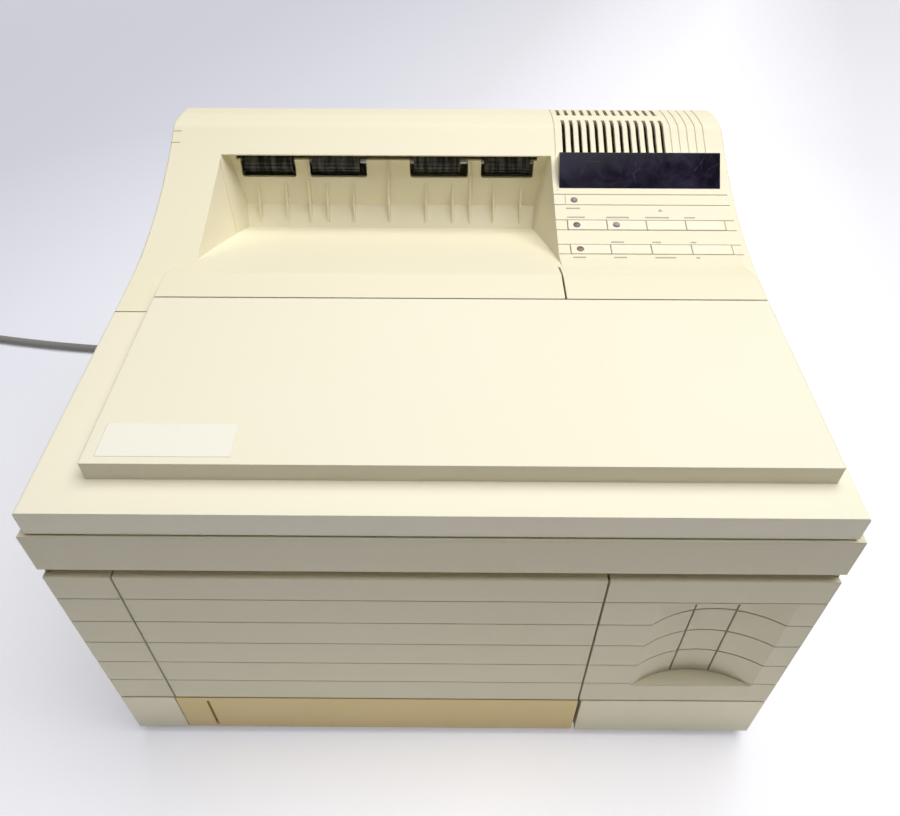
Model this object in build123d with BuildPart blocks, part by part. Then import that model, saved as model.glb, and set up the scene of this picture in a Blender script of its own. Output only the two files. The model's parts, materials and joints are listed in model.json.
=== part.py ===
"""Desktop laser printer: hinged top lid, output bay, front tray door and paper cassette.

Millimetres. +Z up, front at -Y, the viewer's right at +X.
The origin is on the surface that the printer stands on, under the middle of its body.
"""
import os
from math import asin, atan2, cos, degrees, hypot, pi, radians, sin, sqrt, tan

from build123d import *

os.makedirs("parts", exist_ok=True)

# Body
body_width = 416.0
body_depth = 403.0
body_height = 297.0
foot_height = 9.5
wall = 2.8
half_width = body_width / 2
front_y = -body_depth / 2
rear_y = body_depth / 2

# Levels of the front, from the base up
strip_height = 42.7
panel_gap = 1.7
panel_height = 133.1
ledge_height = 7.0
belt_height = 27.0
lid_gap = 1.6
base_z = foot_height
strip_top = base_z + strip_height
panel_z = strip_top + panel_gap
panel_top = panel_z + panel_height
belt_z = panel_top + ledge_height
belt_top = belt_z + belt_height
lid_z = belt_top + lid_gap
panel_thickness = 3.5

# Upper housing and lid
upper_inset = 4.0
upper_half = half_width - upper_inset
lid_front_y = front_y + 1.0
lid_front_z = lid_z + 15.4
lid_slope = 0.07
slab_height = 11.0
slab_x = (-176.0, 195.2)
slab_front_y = front_y + 22.0
seam_y = -50.5
seam_gap = 0.8
lid_rear_y = seam_y - seam_gap / 2
housing_front_y = seam_y + seam_gap / 2
housing_rear_y = rear_y - upper_inset

# Swoop: the curve from the lid's level up to the crest
swoop_start_y = -30.0
crest_front_y = 122.0
crest_rear_y = 141.0
crown_radius = 14.0
crest_z = body_height
bevel_rear_y = 157.0
bevel_drop = 1.8
back_slope_z = 238.0
housing_side_radius = 1.5
lid_side_radius = 1.5
side_line_y = (107.0, 116.0)
side_line_length = 7.0

# Lid hinge
lid_pivot = (-30.0, 240.0)
pin_radius = 2.0
running = 0.05
arm_width = 6.0
arm_x = (-160.0, 170.0)
hub_radius = 5.0
arm_ring = (29.5, 34.5)
arm_angles = (150.0, 222.0)
margin_sweep = 22.4
slab_sweep = 28.6
clevis_thickness = 3.0
clevis_gap = 0.5
clevis_half = 6.0
clevis_top = 258.2
arm_clearance = 0.8
arm_slot_top = 255.0

# Output bay
bay_floor_start = (-26.0, 261.2)
bay_floor_end = (93.0, 227.5)
bay_crease = (105.0, 241.0)
bay_wall_top_y = 108.0
bay_overhang_y = 97.5
bay_overhang_z = 283.2
bay_slot_z = 275.5
bay_x_left = -165.0
bay_x_right = 75.9
bay_draft_left = 12.9
bay_draft_right = 10.6
bay_bulge_left = 2.5
bay_bulge_right = 1.0
panel_joint_x = 73.7
bay_wall = 2.5
window_z = 262.4
window_radius = 2.0
windows = ((-155.5, -114.4), (-103.8, -60.6), (-28.0, 15.9), (25.7, 65.1))
fin_x = (-144.6, -123.3, -105.7, -92.0, -71.7, -44.6, -16.1, 4.5, 17.9, 36.0, 56.7)
fin_thickness = 1.6
fin_foot = (95.4, 230.2)
fin_fold = (100.2, 243.5)
fin_root = ((107.2, 240.0), (98.0, 229.0))
fin_top_y = (107.6, 108.8)
fin_bevel = (0.4, 1.5)
tall_fins = (2, 5, 8)

# Exit rollers
exit_axis = (118.0, 270.5)
exit_roller_radius = 9.0
shaft_radius = 3.0

# Control panel
key_pitch = 27.2
key_depth = 9.2
key_gap = 0.5
key_height = 7.0
key_proud = 0.35
key_first_x = 84.1
key_count = 4
row_y = (60.2, 37.0, 14.0)
band_x = (bay_x_right - 1.0, 199.6)
band_depth = 9.3
band_clearance = 4.0
line_width = 0.6
line_depth = 0.6

# Display
display_x = (80.7, 195.2)
display_foot_y = 70.2
display_length = 25.7
display_tilt = 47.1
display_thickness = 5.0
display_seat = 2.2
display_shelf = 12.0
display_toe = 4.0
display_clear = 3.0
display_line_x = display_x[0] - 1.6
display_line_reach = 30.0

# Vents
vent_count = 13
vent_first_x = 86.3
vent_pitch = 6.07
vent_width = 2.5
vent_y = (98.0, 131.0)
rear_vent_y = (140.5, 155.0)
rear_vent_shift = -1.5
blind_count = 5
vent_cut_z = (270.0, 299.0)

# Front
door_x = (-171.9, 86.9)
door_gap = 1.2
groove_count = 5
groove_pitch = 22.7
groove_first_z = panel_top - 20.0
groove_size = 1.1
door_axis = (front_y + 4.5, panel_z + 7.1)
stub_radius = 2.0
scoop_x = (117.5, 193.0)
scoop_z = (73.5, 166.0)
scoop_depth = 11.0
button_x = (144.4, 167.4)
button_gap = 1.1

# Cassette
cassette_x = (-173.0, 87.6)
cassette_gap_left = 0.8
cassette_gap_right = 2.3
cassette_lift = 1.0
tray_x = (-170.0, 84.0)
tray_depth = 330.0
tray_wall = 2.5
gauge_x = -153.0
gauge_slot = 1.8
lift_hinge = (40.0, 18.5)
lift_front_y = -186.0

# Chassis
plate_thickness = 1.2
frame_x = (-178.0, 94.0)
frame_y = (-186.0, 192.0)
frame_top = 215.0

upper_width = 2 * upper_half
pan_thickness = 2.0
pan_top = base_z + pan_thickness


def margin_z(y):
    """Height of the lid's margin."""
    return lid_front_z + lid_slope * (y - lid_front_y)


def slab_z(y):
    """Height of the raised slab on the lid."""
    return margin_z(y) + slab_height


slope_angle = atan2(lid_slope, 1.0)
swoop_dy = crest_front_y - swoop_start_y
swoop_dz = crest_z - margin_z(swoop_start_y)
swoop_radius = hypot(swoop_dy, swoop_dz) ** 2 / (
    2 * (swoop_dz * cos(slope_angle) - swoop_dy * sin(slope_angle))
)
swoop_center = (
    swoop_start_y - swoop_radius * sin(slope_angle),
    margin_z(swoop_start_y) + swoop_radius * cos(slope_angle),
)


def swoop_z(y):
    """Height of the swoop, the arc between lid level and crest."""
    return swoop_center[1] - sqrt(swoop_radius**2 - (y - swoop_center[0]) ** 2)


crown_reach = swoop_radius + crown_radius
crown_center = (
    swoop_center[0] + sqrt(crown_reach**2 - (swoop_center[1] - crest_z + crown_radius) ** 2),
    crest_z - crown_radius,
)


def crown_start(inset):
    """Side-view point where the swoop turns into the rounding of the crest."""
    share = (swoop_radius + inset) / crown_reach
    return tuple(c + share * (k - c) for c, k in zip(swoop_center, crown_center))


def top_z(y):
    """Height of the housing's top: swoop, rounding, crest and bevel."""
    if y < crown_start(0.0)[0]:
        return swoop_z(y)
    if y < crown_center[0]:
        return crown_center[1] + sqrt(crown_radius**2 - (y - crown_center[0]) ** 2)
    return crest_z - bevel_drop * max(0.0, y - crest_rear_y) / (bevel_rear_y - crest_rear_y)


def swoop_angle(y):
    """Angle of the swoop above level, in degrees."""
    return degrees(asin((y - swoop_center[0]) / swoop_radius))


def block(x, y, z, mode=Mode.ADD):
    """Box between three (low, high) pairs."""
    with Locations(((x[0] + x[1]) / 2, (y[0] + y[1]) / 2, (z[0] + z[1]) / 2)):
        Box(x[1] - x[0], y[1] - y[0], z[1] - z[0], mode=mode)


def prism_x(points, x, mode=Mode.ADD):
    """Extrude a side-view outline of (y, z) points between two x values."""
    with BuildSketch(Plane.YZ.offset(x[0])) as side:
        with BuildLine():
            Polyline(*points, close=True)
        make_face()
    extrude(side.sketch, amount=x[1] - x[0], mode=mode)


def rod_x(center, radius, x, mode=Mode.ADD):
    """Cylinder along X at a (y, z) centre."""
    with BuildSketch(Plane.YZ.offset(x[0])) as end:
        with Locations(center):
            Circle(radius)
    extrude(end.sketch, amount=x[1] - x[0], mode=mode)


def rod_y(center, radius, y, mode=Mode.ADD):
    """Cylinder along Y at an (x, z) centre."""
    with BuildSketch(Plane.XZ.offset(-y[0])) as end:
        with Locations(center):
            Circle(radius)
    extrude(end.sketch, amount=-(y[1] - y[0]), mode=mode)


def rod_z(center, radius, z, mode=Mode.ADD):
    """Cylinder along Z at an (x, y) centre."""
    with BuildSketch(Plane.XY.offset(z[0])) as end:
        with Locations(center):
            Circle(radius)
    extrude(end.sketch, amount=z[1] - z[0], mode=mode)


def save(builder, name):
    """Label a finished piece and write it under its own name."""
    builder.part.label = name
    export_step(builder.part, f"parts/{name}.step")


def housing_outline(inset):
    """Side view of the upper housing, drawn inset by a wall's thickness."""
    front = (housing_front_y + inset, margin_z(housing_front_y) - inset)
    start = (swoop_start_y, margin_z(swoop_start_y) - inset)
    end = crown_start(inset)
    crest_start = (crown_center[0], crest_z - inset)
    Line((housing_front_y + inset, belt_top - inset), front)
    Line(front, start)
    RadiusArc(start, end, -swoop_radius - inset)
    RadiusArc(end, crest_start, crown_radius - inset)
    Polyline(
        crest_start,
        (crest_rear_y, crest_z - inset),
        (bevel_rear_y - inset / 2, crest_z - bevel_drop - inset),
        (housing_rear_y - inset, back_slope_z - inset / 2),
        (housing_rear_y - inset, belt_top - inset),
        (housing_front_y + inset, belt_top - inset),
    )


def housing_block(inset):
    """Solid of the upper housing's outline."""
    with BuildPart(mode=Mode.PRIVATE) as shape:
        with BuildSketch(Plane.YZ.offset(-upper_half + inset)):
            with BuildLine():
                housing_outline(inset)
            make_face()
        extrude(amount=upper_width - 2 * inset)
        if inset == 0:
            ends = shape.faces().filter_by(Axis.X)
            upper_edges = ends.edges().filter_by(lambda edge: edge.center().Z > lid_front_z)
            fillet(upper_edges, housing_side_radius)
    return shape.part


bay_side_rise = 29.0 / 100.5
bay_side_angle = atan2(bay_side_rise, 1.0)
bay_side_start = (-3.0, 254.0)
bay_draft_depth = 55.7
bay_reach = 60.0
bay_wall_y = (bay_wall_top_y - 4.0, bay_wall_top_y + 6.0)
bay_slot_x = (bay_x_left + 7.0, bay_x_right - 8.5)
bay_seam_ends = ((72.6, 233.3), (92.8, 282.0))
fin_tops = (window_z - 1.5, bay_slot_z - 1.0)


def bay_run_in(bulge, chord):
    """How far a bay side's arc has come back in where it runs past its chord."""
    return bulge * ((1 + 2 * bay_reach / chord) ** 2 - 1)


def bay_side(x, bulge, chord):
    """Rim of a bay side: an arc that stands out by its bulge at the middle of its chord."""
    run_in = -bay_run_in(bulge, chord)
    ThreePointArc((x + run_in, -bay_reach), (x + bulge, chord / 2), (x + run_in, chord + bay_reach))


def bay_block(grow):
    """Space of the output bay, widened by a wall's thickness."""
    start_y, start_z = bay_floor_start
    points = [
        (start_y, start_z - grow),
        (bay_floor_end[0] + 0.2 * grow, bay_floor_end[1] - 1.1 * grow),
        (bay_crease[0] + 1.1 * grow, bay_crease[1] - 0.3 * grow),
        (bay_wall_top_y + grow, bay_slot_z),
    ]
    if grow > 0:
        points += [(bay_wall_top_y + grow, crest_z + wall)]
    else:
        points += [
            (bay_wall_top_y, bay_overhang_z),
            (bay_overhang_y, bay_overhang_z),
            (bay_overhang_y, crest_z + wall),
        ]
    points += [(start_y, crest_z + wall)]
    inwards = Vector(0, sin(bay_side_angle), -cos(bay_side_angle))
    chord = hypot(bay_overhang_y - bay_side_start[0], bay_overhang_z - bay_side_start[1])
    origin = Vector(0, *bay_side_start)
    with BuildPart(mode=Mode.PRIVATE) as shape:
        prism_x(points, (bay_x_left - 4 * wall, bay_x_right + 4 * wall))
        for height in (-bay_reach, bay_reach):
            left = bay_x_left + bay_draft_left / bay_draft_depth * height - grow
            right = bay_x_right - bay_draft_right / bay_draft_depth * height + grow
            with BuildSketch(Plane(origin=origin + inwards * height, x_dir=(1, 0, 0), z_dir=-inwards)):
                with BuildLine():
                    bay_side(left, -bay_bulge_left, chord)
                    bay_side(right, bay_bulge_right, chord)
                    Line((left + bay_run_in(bay_bulge_left, chord), -bay_reach),
                         (right - bay_run_in(bay_bulge_right, chord), -bay_reach))
                    Line((left + bay_run_in(bay_bulge_left, chord), chord + bay_reach),
                         (right - bay_run_in(bay_bulge_right, chord), chord + bay_reach))
                make_face()
        loft(ruled=True, mode=Mode.INTERSECT)
    return shape.part


# Plateau behind the lid, level with the slab
plateau_end_y = 5.0
plateau_panel_end_y = 8.0
plateau_curve = ((slab_x[0], -30.0), (-172.5, -18.0), (bay_x_left, -3.0))
plateau_low_z = 232.0
plateau_roll = ((-22.0, 0.9), (-14.0, 3.1), (-6.0, 5.4), (2.0, 6.4))
panel_joint_y = (housing_front_y, -10.0)
panel_joint_z = (254.0, 265.0)


def bay_floor_z(y):
    """Height of the bay's floor."""
    fall = (bay_floor_start[1] - bay_floor_end[1]) / (bay_floor_end[0] - bay_floor_start[0])
    return bay_floor_start[1] - fall * (y - bay_floor_start[0])


def plateau_block(inset):
    """Solid of the raised plateau, drawn inset by a wall's thickness."""
    front = housing_front_y + inset
    left_points = [
        (front, plateau_low_z),
        (front, slab_z(front) - inset),
        (bay_floor_start[0], bay_floor_start[1] - inset),
        (plateau_end_y, bay_floor_z(plateau_end_y) - inset),
        (plateau_end_y, plateau_low_z),
    ]
    right_points = [
        (front, plateau_low_z),
        (front, slab_z(front) - inset),
        (swoop_start_y, slab_z(swoop_start_y) - inset),
        *[(y, slab_z(swoop_start_y) - drop - inset) for y, drop in plateau_roll],
        (plateau_panel_end_y, swoop_z(plateau_panel_end_y) - inset),
        (plateau_panel_end_y, plateau_low_z),
    ]
    with BuildPart(mode=Mode.PRIVATE) as shape:
        prism_x(left_points, (slab_x[0] + inset, panel_joint_x))
        with BuildSketch(Plane.XY.offset(plateau_low_z)):
            with BuildLine():
                Spline(*[(x + inset, y) for x, y in plateau_curve])
                Polyline(
                    (plateau_curve[2][0] + inset, plateau_curve[2][1]),
                    (plateau_curve[2][0] + inset, plateau_panel_end_y),
                    (plateau_curve[0][0] - 5, plateau_panel_end_y),
                    (plateau_curve[0][0] - 5, plateau_curve[0][1]),
                    (plateau_curve[0][0] + inset, plateau_curve[0][1]),
                )
            make_face()
        extrude(amount=40, mode=Mode.SUBTRACT)
        prism_x(right_points, (panel_joint_x, slab_x[1] - inset))
    return shape.part


# Places of the display slab in side view
display_up = (cos(radians(display_tilt)), sin(radians(display_tilt)))
display_back = (display_up[1], -display_up[0])
display_foot = (display_foot_y, swoop_z(display_foot_y) + 0.3)


def display_point(up, back):
    """Side-view point a distance up the display's face and behind it."""
    return (
        display_foot[0] + up * display_up[0] + back * display_back[0],
        display_foot[1] + up * display_up[1] + back * display_back[1],
    )


def display_outline(low, front, high, back):
    """Side-view rectangle in the display's own directions."""
    return [
        display_point(low, front),
        display_point(high, front),
        display_point(high, back),
        display_point(low, back),
    ]


def on_swoop(x, y, height=0.0):
    """Place on the swoop with its own normal as Z."""
    angle = radians(swoop_angle(y))
    return Location(
        (x, y - height * sin(angle), swoop_z(y) + height * cos(angle)),
        (degrees(angle), 0, 0),
    )


def swoop_strip(y_low, y_high, depth):
    """Side-view outline of a groove cut to a depth along the swoop and crest."""
    steps = 17
    low = []
    for i in range(steps):
        y = y_low + (y_high - y_low) * i / (steps - 1)
        low.append((y, top_z(y) - depth))
    return low + [(y_high, crest_z + 5), (y_low, crest_z + 5)]


# Rollers over the bay
exit_roller_x = ((-153.9, -117.0), (-102.2, -66.4), (-25.2, 10.0), (28.2, 62.5))
exit_shaft_x = (-182.0, 84.0)
exit_bearing_x = (-172.0, 80.0)
exit_bearing_thickness = 3.0
exit_bearing_y = (exit_axis[0] - 6.0, exit_axis[0] + 6.0)
exit_bearing_foot = exit_axis[1] - 8.0

# Keys
key_field = (key_first_x, key_first_x + key_count * key_pitch)
key_rows = row_y[1:]


def key_block(x_low, x_high, y, depth, low, high):
    """Block set square to the swoop, from a low to a high height above it."""
    with Locations(on_swoop((x_low + x_high) / 2, y, (low + high) / 2)):
        Box(x_high - x_low, depth, high - low)


# Upper housing
with BuildPart() as top_cover:
    add(housing_block(0.0))
    add(plateau_block(0.0))
    prism_x(
        [display_point(0, 0), display_point(display_length, 0), display_point(display_length, display_shelf),
         display_point(-display_toe, display_shelf)],
        display_x,
    )
    with BuildPart(mode=Mode.PRIVATE) as cavity:
        add(housing_block(wall))
        add(plateau_block(wall))
        add(bay_block(bay_wall), mode=Mode.SUBTRACT)
        prism_x(
            display_outline(-display_seat, -display_clear, display_length + display_seat,
                            display_thickness + display_seat),
            (display_x[0] - display_seat, display_x[1] + display_seat),
            mode=Mode.SUBTRACT,
        )
    add(cavity.part, mode=Mode.SUBTRACT)
    add(bay_block(0.0), mode=Mode.SUBTRACT)
    prism_x(display_outline(0, -display_clear, display_length + display_toe, display_thickness), display_x,
            mode=Mode.SUBTRACT)
    with BuildSketch(Plane.XZ.offset(-bay_wall_y[0])) as openings:
        for low, high in windows:
            with Locations(((low + high) / 2, (window_z + bay_overhang_z) / 2)):
                RectangleRounded(high - low, bay_overhang_z - window_z, window_radius)
    extrude(openings.sketch, amount=bay_wall_y[0] - bay_wall_y[1], mode=Mode.SUBTRACT)
    block(bay_slot_x, bay_wall_y, (bay_slot_z, bay_overhang_z), mode=Mode.SUBTRACT)
    with BuildPart(mode=Mode.PRIVATE) as bay_seam:
        add(bay_block(line_depth))
        prism_x(
            [(y + side * line_width / 2, z) for side in (-1, 1) for y, z in bay_seam_ends[::side]],
            (bay_x_left - 2 * bay_wall, bay_x_left + bay_draft_left + wall),
            mode=Mode.INTERSECT,
        )
    add(bay_seam.part, mode=Mode.SUBTRACT)
    for i, x in enumerate(fin_x):
        top = fin_tops[i in tall_fins]
        prism_x(
            [fin_foot, fin_fold, (fin_top_y[0] - fin_bevel[0], top - fin_bevel[1]), (fin_top_y[0], top),
             (fin_top_y[1], top), *fin_root],
            (x - fin_thickness / 2, x + fin_thickness / 2),
        )
    for i in range(vent_count):
        x = vent_first_x + i * vent_pitch
        for middle, span in ((x, vent_y), (x + rear_vent_shift, rear_vent_y)):
            block((middle - vent_width / 2, middle + vent_width / 2), span, vent_cut_z, mode=Mode.SUBTRACT)
    for i in range(blind_count):
        x = vent_first_x + (vent_count + i) * vent_pitch
        prism_x(swoop_strip(vent_y[0], bevel_rear_y, line_depth), (x - line_width / 2, x + line_width / 2),
                mode=Mode.SUBTRACT)
    prism_x(swoop_strip(vent_y[0] - display_line_reach, bevel_rear_y, line_depth),
            (display_line_x, display_line_x + line_width), mode=Mode.SUBTRACT)
    for y in row_y:
        for side in (-0.5, 0.5):
            with Locations(on_swoop(sum(band_x) / 2, y + side * band_depth, band_clearance - line_depth)):
                Box(band_x[1] - band_x[0], line_width, 2 * band_clearance, mode=Mode.SUBTRACT)
    with Locations(on_swoop(key_first_x, row_y[0])):
        Box(line_width, band_depth, 2 * line_depth, mode=Mode.SUBTRACT)
    for y in key_rows:
        with Locations(on_swoop(sum(key_field) / 2, y)):
            Box(key_field[1] - key_field[0] + key_gap, key_depth + key_gap, 4 * wall, mode=Mode.SUBTRACT)
    block((panel_joint_x - line_width, panel_joint_x + line_width), panel_joint_y, panel_joint_z,
          mode=Mode.SUBTRACT)
    for low in arm_x:
        block((low - arm_clearance, low + arm_width + arm_clearance),
              (housing_front_y - 1, housing_front_y + wall + 1), (belt_top - 1, arm_slot_top),
              mode=Mode.SUBTRACT)
        for x in (low - clevis_gap - clevis_thickness, low + arm_width + clevis_gap):
            block((x, x + clevis_thickness), (lid_pivot[0] - clevis_half, lid_pivot[0] + clevis_half),
                  (lid_pivot[1] - clevis_half, clevis_top))
            rod_x(lid_pivot, pin_radius, (x - 1, x + clevis_thickness + 1), mode=Mode.SUBTRACT)
    for x in exit_bearing_x:
        prism_x(
            [
                (exit_bearing_y[0], exit_bearing_foot),
                (exit_bearing_y[0], top_z(exit_bearing_y[0]) - wall / 2),
                (exit_bearing_y[1], top_z(exit_bearing_y[1]) - wall / 2),
                (exit_bearing_y[1], exit_bearing_foot),
            ],
            (x, x + exit_bearing_thickness),
        )
        rod_x(exit_axis, shaft_radius + running, (x - 1, x + exit_bearing_thickness + 1), mode=Mode.SUBTRACT)
    for y in side_line_y:
        block((-upper_half - 1, -upper_half + side_line_length), (y - line_width / 2, y + line_width / 2),
              (top_z(y) - line_depth, crest_z + 1), mode=Mode.SUBTRACT)
save(top_cover, "top_cover")

with BuildPart() as lid_hinge_pins:
    for low in arm_x:
        rod_x(lid_pivot, pin_radius, (low - clevis_gap - clevis_thickness,
                                      low + arm_width + clevis_gap + clevis_thickness))
save(lid_hinge_pins, "lid_hinge_pins")

# Lid
slab_cove = 8.0
slab_cove_start = 0.6
slab_cove_run = 16.0
lid_rear_lip = 1.2
arm_foot_angle = 4.2
arm_hub_angle = 31.0
arm_overlap = 0.4
arm_root = ((-36.0, wall / 2), (-29.5, 9.0))


def lid_block(inset, open_below):
    """Solid of the lid with its slab, drawn inset by a wall's thickness."""
    front = lid_front_y + inset
    back = lid_rear_y - inset
    low = lid_z - open_below
    with BuildPart(mode=Mode.PRIVATE) as shape:
        prism_x(
            [(front, low), (front, margin_z(front) - inset), (back, margin_z(back) - inset), (back, low)],
            (-upper_half + inset, upper_half - inset),
        )
        if inset == 0:
            ends = shape.faces().filter_by(Axis.X)
            fillet(ends.edges().filter_by(lambda edge: edge.center().Z > lid_front_z), lid_side_radius)
        slab_front = slab_front_y + inset
        prism_x(
            [(slab_front, low), (slab_front, slab_z(slab_front) - inset), (back, slab_z(back) - inset),
             (back, low)],
            (slab_x[0] + inset, slab_x[1] - inset),
        )
    return shape.part


def polar(radius, angle):
    """Side-view point about the lid's pivot, its angle in degrees from the rear upwards."""
    return (
        lid_pivot[0] + radius * cos(radians(angle)),
        lid_pivot[1] + radius * sin(radians(angle)),
    )


with BuildPart() as lid:
    add(lid_block(0.0, 0.0))
    slope_length = (lid_rear_y - slab_front_y) / cos(slope_angle)
    corner = Vector(slab_x[0], slab_front_y, margin_z(slab_front_y))
    slope = Vector(0, cos(slope_angle), sin(slope_angle))
    for run, radius in ((0.0, slab_cove_start), (slab_cove_run, slab_cove), (slope_length, slab_cove)):
        with BuildSketch(Plane(origin=corner + slope * run, x_dir=(1, 0, 0), z_dir=slope)):
            with BuildLine():
                Line((1, 0), (-radius, 0))
                ThreePointArc((-radius, 0), (-0.293 * radius, -0.293 * radius), (0, -radius))
                Polyline((0, -radius), (1, -radius), (1, 0))
            make_face()
    loft(ruled=True)
    add(lid_block(wall, 5.0), mode=Mode.SUBTRACT)
    block((slab_x[0] + wall, slab_x[1] - wall), (lid_rear_y - wall - 1, lid_rear_y + 1),
          (lid_z - 5, slab_z(lid_rear_y) - wall - lid_rear_lip), mode=Mode.SUBTRACT)
    rod_x(lid_pivot, margin_sweep, (-upper_half - 1, upper_half + 1), mode=Mode.SUBTRACT)
    rod_x(lid_pivot, slab_sweep, slab_x, mode=Mode.SUBTRACT)
    for low in arm_x:
        with BuildSketch(Plane.YZ.offset(low)):
            with Locations(lid_pivot):
                Circle(arm_ring[1])
                Circle(arm_ring[0], mode=Mode.SUBTRACT)
            with BuildLine():
                Polyline(
                    lid_pivot,
                    polar(2 * arm_ring[1], arm_angles[0]),
                    polar(3 * arm_ring[1], sum(arm_angles) / 2),
                    polar(2 * arm_ring[1], arm_angles[1]),
                    close=True,
                )
            make_face(mode=Mode.INTERSECT)
            with BuildLine():
                Polyline(
                    polar(arm_ring[1] - arm_overlap / 2, arm_angles[1] - arm_foot_angle),
                    polar(arm_ring[1] - arm_overlap / 2, arm_angles[1] + arm_foot_angle),
                    polar(hub_radius, arm_angles[1] + arm_hub_angle),
                    polar(hub_radius, arm_angles[1] - arm_hub_angle),
                    close=True,
                )
            make_face()
            with BuildLine():
                Polyline(
                    polar(arm_ring[0] + arm_overlap, arm_angles[0]),
                    polar(arm_ring[1], arm_angles[0] - arm_overlap / 2),
                    (lid_pivot[0] + arm_root[0][0], slab_z(lid_pivot[0] + arm_root[0][0]) - arm_root[0][1]),
                    (lid_pivot[0] + arm_root[1][0], lid_pivot[1] + arm_root[1][1]),
                    close=True,
                )
            make_face()
            with Locations(lid_pivot):
                Circle(hub_radius)
                Circle(pin_radius + running, mode=Mode.SUBTRACT)
        extrude(amount=arm_width)
save(lid, "lid")

# Lower housing
flange = 8.0
flange_thickness = 2.8
rear_inside = rear_y - wall
panel_back_y = front_y + panel_thickness
cover_front_y = panel_back_y + 0.3
header_y = (front_y + 6.0, front_y + 8.0)
rear_opening = ((-150.0, 66.0), (74.5, 200.0))
port_opening = ((110.0, 190.0), (100.0, 190.0))
inlet_opening = ((137.0, 165.0), (30.0, 52.0))
rear_door_axis = (196.0, 82.0)
rear_flange_x = ((-153.0, -150.0), (66.0, 69.0))
fan_x = (180.0, half_width - wall)
fan_y = (-120.0, -40.0)
fan_z = (110.0, 190.0)
screw_places = [(x, y) for x in (-199.0, 199.0) for y in (-175.0, 188.0)]
screw_radius = 1.5
screw_boss = 5.0
boss_height = 18.0
lip = 5.0
header_z = (panel_top + 1.5, belt_z + 3.0)
bearing_half = 6.0
fan_slots = (8, 8.3, 4.0)
side_slots = (10, 9.0, 4.0)
side_slot_y = 60.0
side_slot_z = (150.0, 185.0)
slot_edge = 10.0

with BuildPart() as main_cover:
    block((-half_width, half_width), (cover_front_y, rear_y), (base_z, belt_top))
    block((-half_width, half_width), (front_y, cover_front_y), (belt_z, belt_top))
    block((-half_width + wall, half_width - wall), (front_y + wall, rear_inside),
          (base_z - 1, belt_top + 1), mode=Mode.SUBTRACT)
    inner = half_width - wall
    block((-inner, inner), (front_y + wall, rear_inside), (belt_top - flange_thickness, belt_top))
    block((-inner + flange, inner - flange), (front_y + wall + lip, rear_inside - flange),
          (belt_top - 10, belt_top + 1), mode=Mode.SUBTRACT)
    block((-inner, inner), (front_y + wall, header_y[1]), (belt_z + 1, belt_z + 3))
    block((-inner, inner), header_y, header_z)
    for (x_span, z_span) in (rear_opening, port_opening, inlet_opening):
        block(x_span, (rear_inside - 1, rear_y + 1), z_span, mode=Mode.SUBTRACT)
    for x_span in rear_flange_x:
        block(x_span, (rear_door_axis[0] - bearing_half, rear_inside),
              (rear_door_axis[1] - bearing_half, rear_door_axis[1] + bearing_half + 2))
        rod_x(rear_door_axis, stub_radius + running, (x_span[0] - 1, x_span[1] + 1), mode=Mode.SUBTRACT)
    for x, y in screw_places:
        rod_z((x, y), screw_boss, (pan_top, pan_top + boss_height))
        side = 1 if x > 0 else -1
        block(sorted((x, side * (half_width - 1))), (y - 3, y + 3), (pan_top, pan_top + boss_height))
        rod_z((x, y), screw_radius + running, (pan_top - 1, pan_top + boss_height - 3), mode=Mode.SUBTRACT)
    for i in range(fan_slots[0]):
        y = fan_y[0] + slot_edge + 1 + i * fan_slots[1]
        block((inner - 1, half_width + 1), (y - fan_slots[2] / 2, y + fan_slots[2] / 2),
              (fan_z[0] + slot_edge, fan_z[1] - slot_edge), mode=Mode.SUBTRACT)
    for i in range(side_slots[0]):
        y = side_slot_y + i * side_slots[1]
        block((-half_width - 1, -inner + 1), (y - side_slots[2] / 2, y + side_slots[2] / 2), side_slot_z,
              mode=Mode.SUBTRACT)
save(main_cover, "main_cover")

pan_gap = 0.3
rim_y = (-160.0, 175.0)
rim_x = (-150.0, 125.0)
rim_height = 14.0
runner_x = (-158.0, 72.0)
runner_y = (-185.0, 130.0)
runner_width = 4.0
runner_height = 1.2
with BuildPart() as base_pan:
    inner = half_width - wall - pan_gap
    back = rear_inside - pan_gap
    block((-inner, inner), (panel_back_y + 1, back), (base_z, pan_top))
    for side in (-1, 1):
        rim = sorted((side * inner, side * (inner - pan_thickness)))
        block(rim, rim_y, (pan_top, pan_top + rim_height))
    block(rim_x, (back - pan_thickness, back), (pan_top, pan_top + rim_height))
    for x in runner_x:
        block((x - runner_width / 2, x + runner_width / 2), runner_y, (pan_top, pan_top + runner_height))
    for x, y in screw_places:
        rod_z((x, y), screw_radius + running, (base_z - 1, pan_top + 1), mode=Mode.SUBTRACT)
save(base_pan, "base_pan")

screw_head = 3.2
screw_head_height = 2.0
with BuildPart() as casing_screws:
    for x, y in screw_places:
        rod_z((x, y), screw_head, (base_z - screw_head_height, base_z))
        rod_z((x, y), screw_radius, (base_z, pan_top + boss_height - 4))
save(casing_screws, "casing_screws")

foot_radius = 11.0
foot_taper = 1.5
foot_places = [(x, y) for x in (-165.0, 165.0) for y in (-165.0, 170.0)]
with BuildPart() as rubber_feet:
    for x, y in foot_places:
        with Locations((x, y, 0)):
            Cone(foot_radius - foot_taper, foot_radius, foot_height,
                 align=(Align.CENTER, Align.CENTER, Align.MIN))
save(rubber_feet, "rubber_feet")

# Front panels
top_return = (panel_back_y, front_y + 5.7)
return_thickness = 2.5
tab_x = half_width - wall
tab_depth = 10.0
tab_thickness = 2.0
jamb_depth = 8.0
jamb_thickness = 3.0
groove_depth = 0.7


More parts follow.
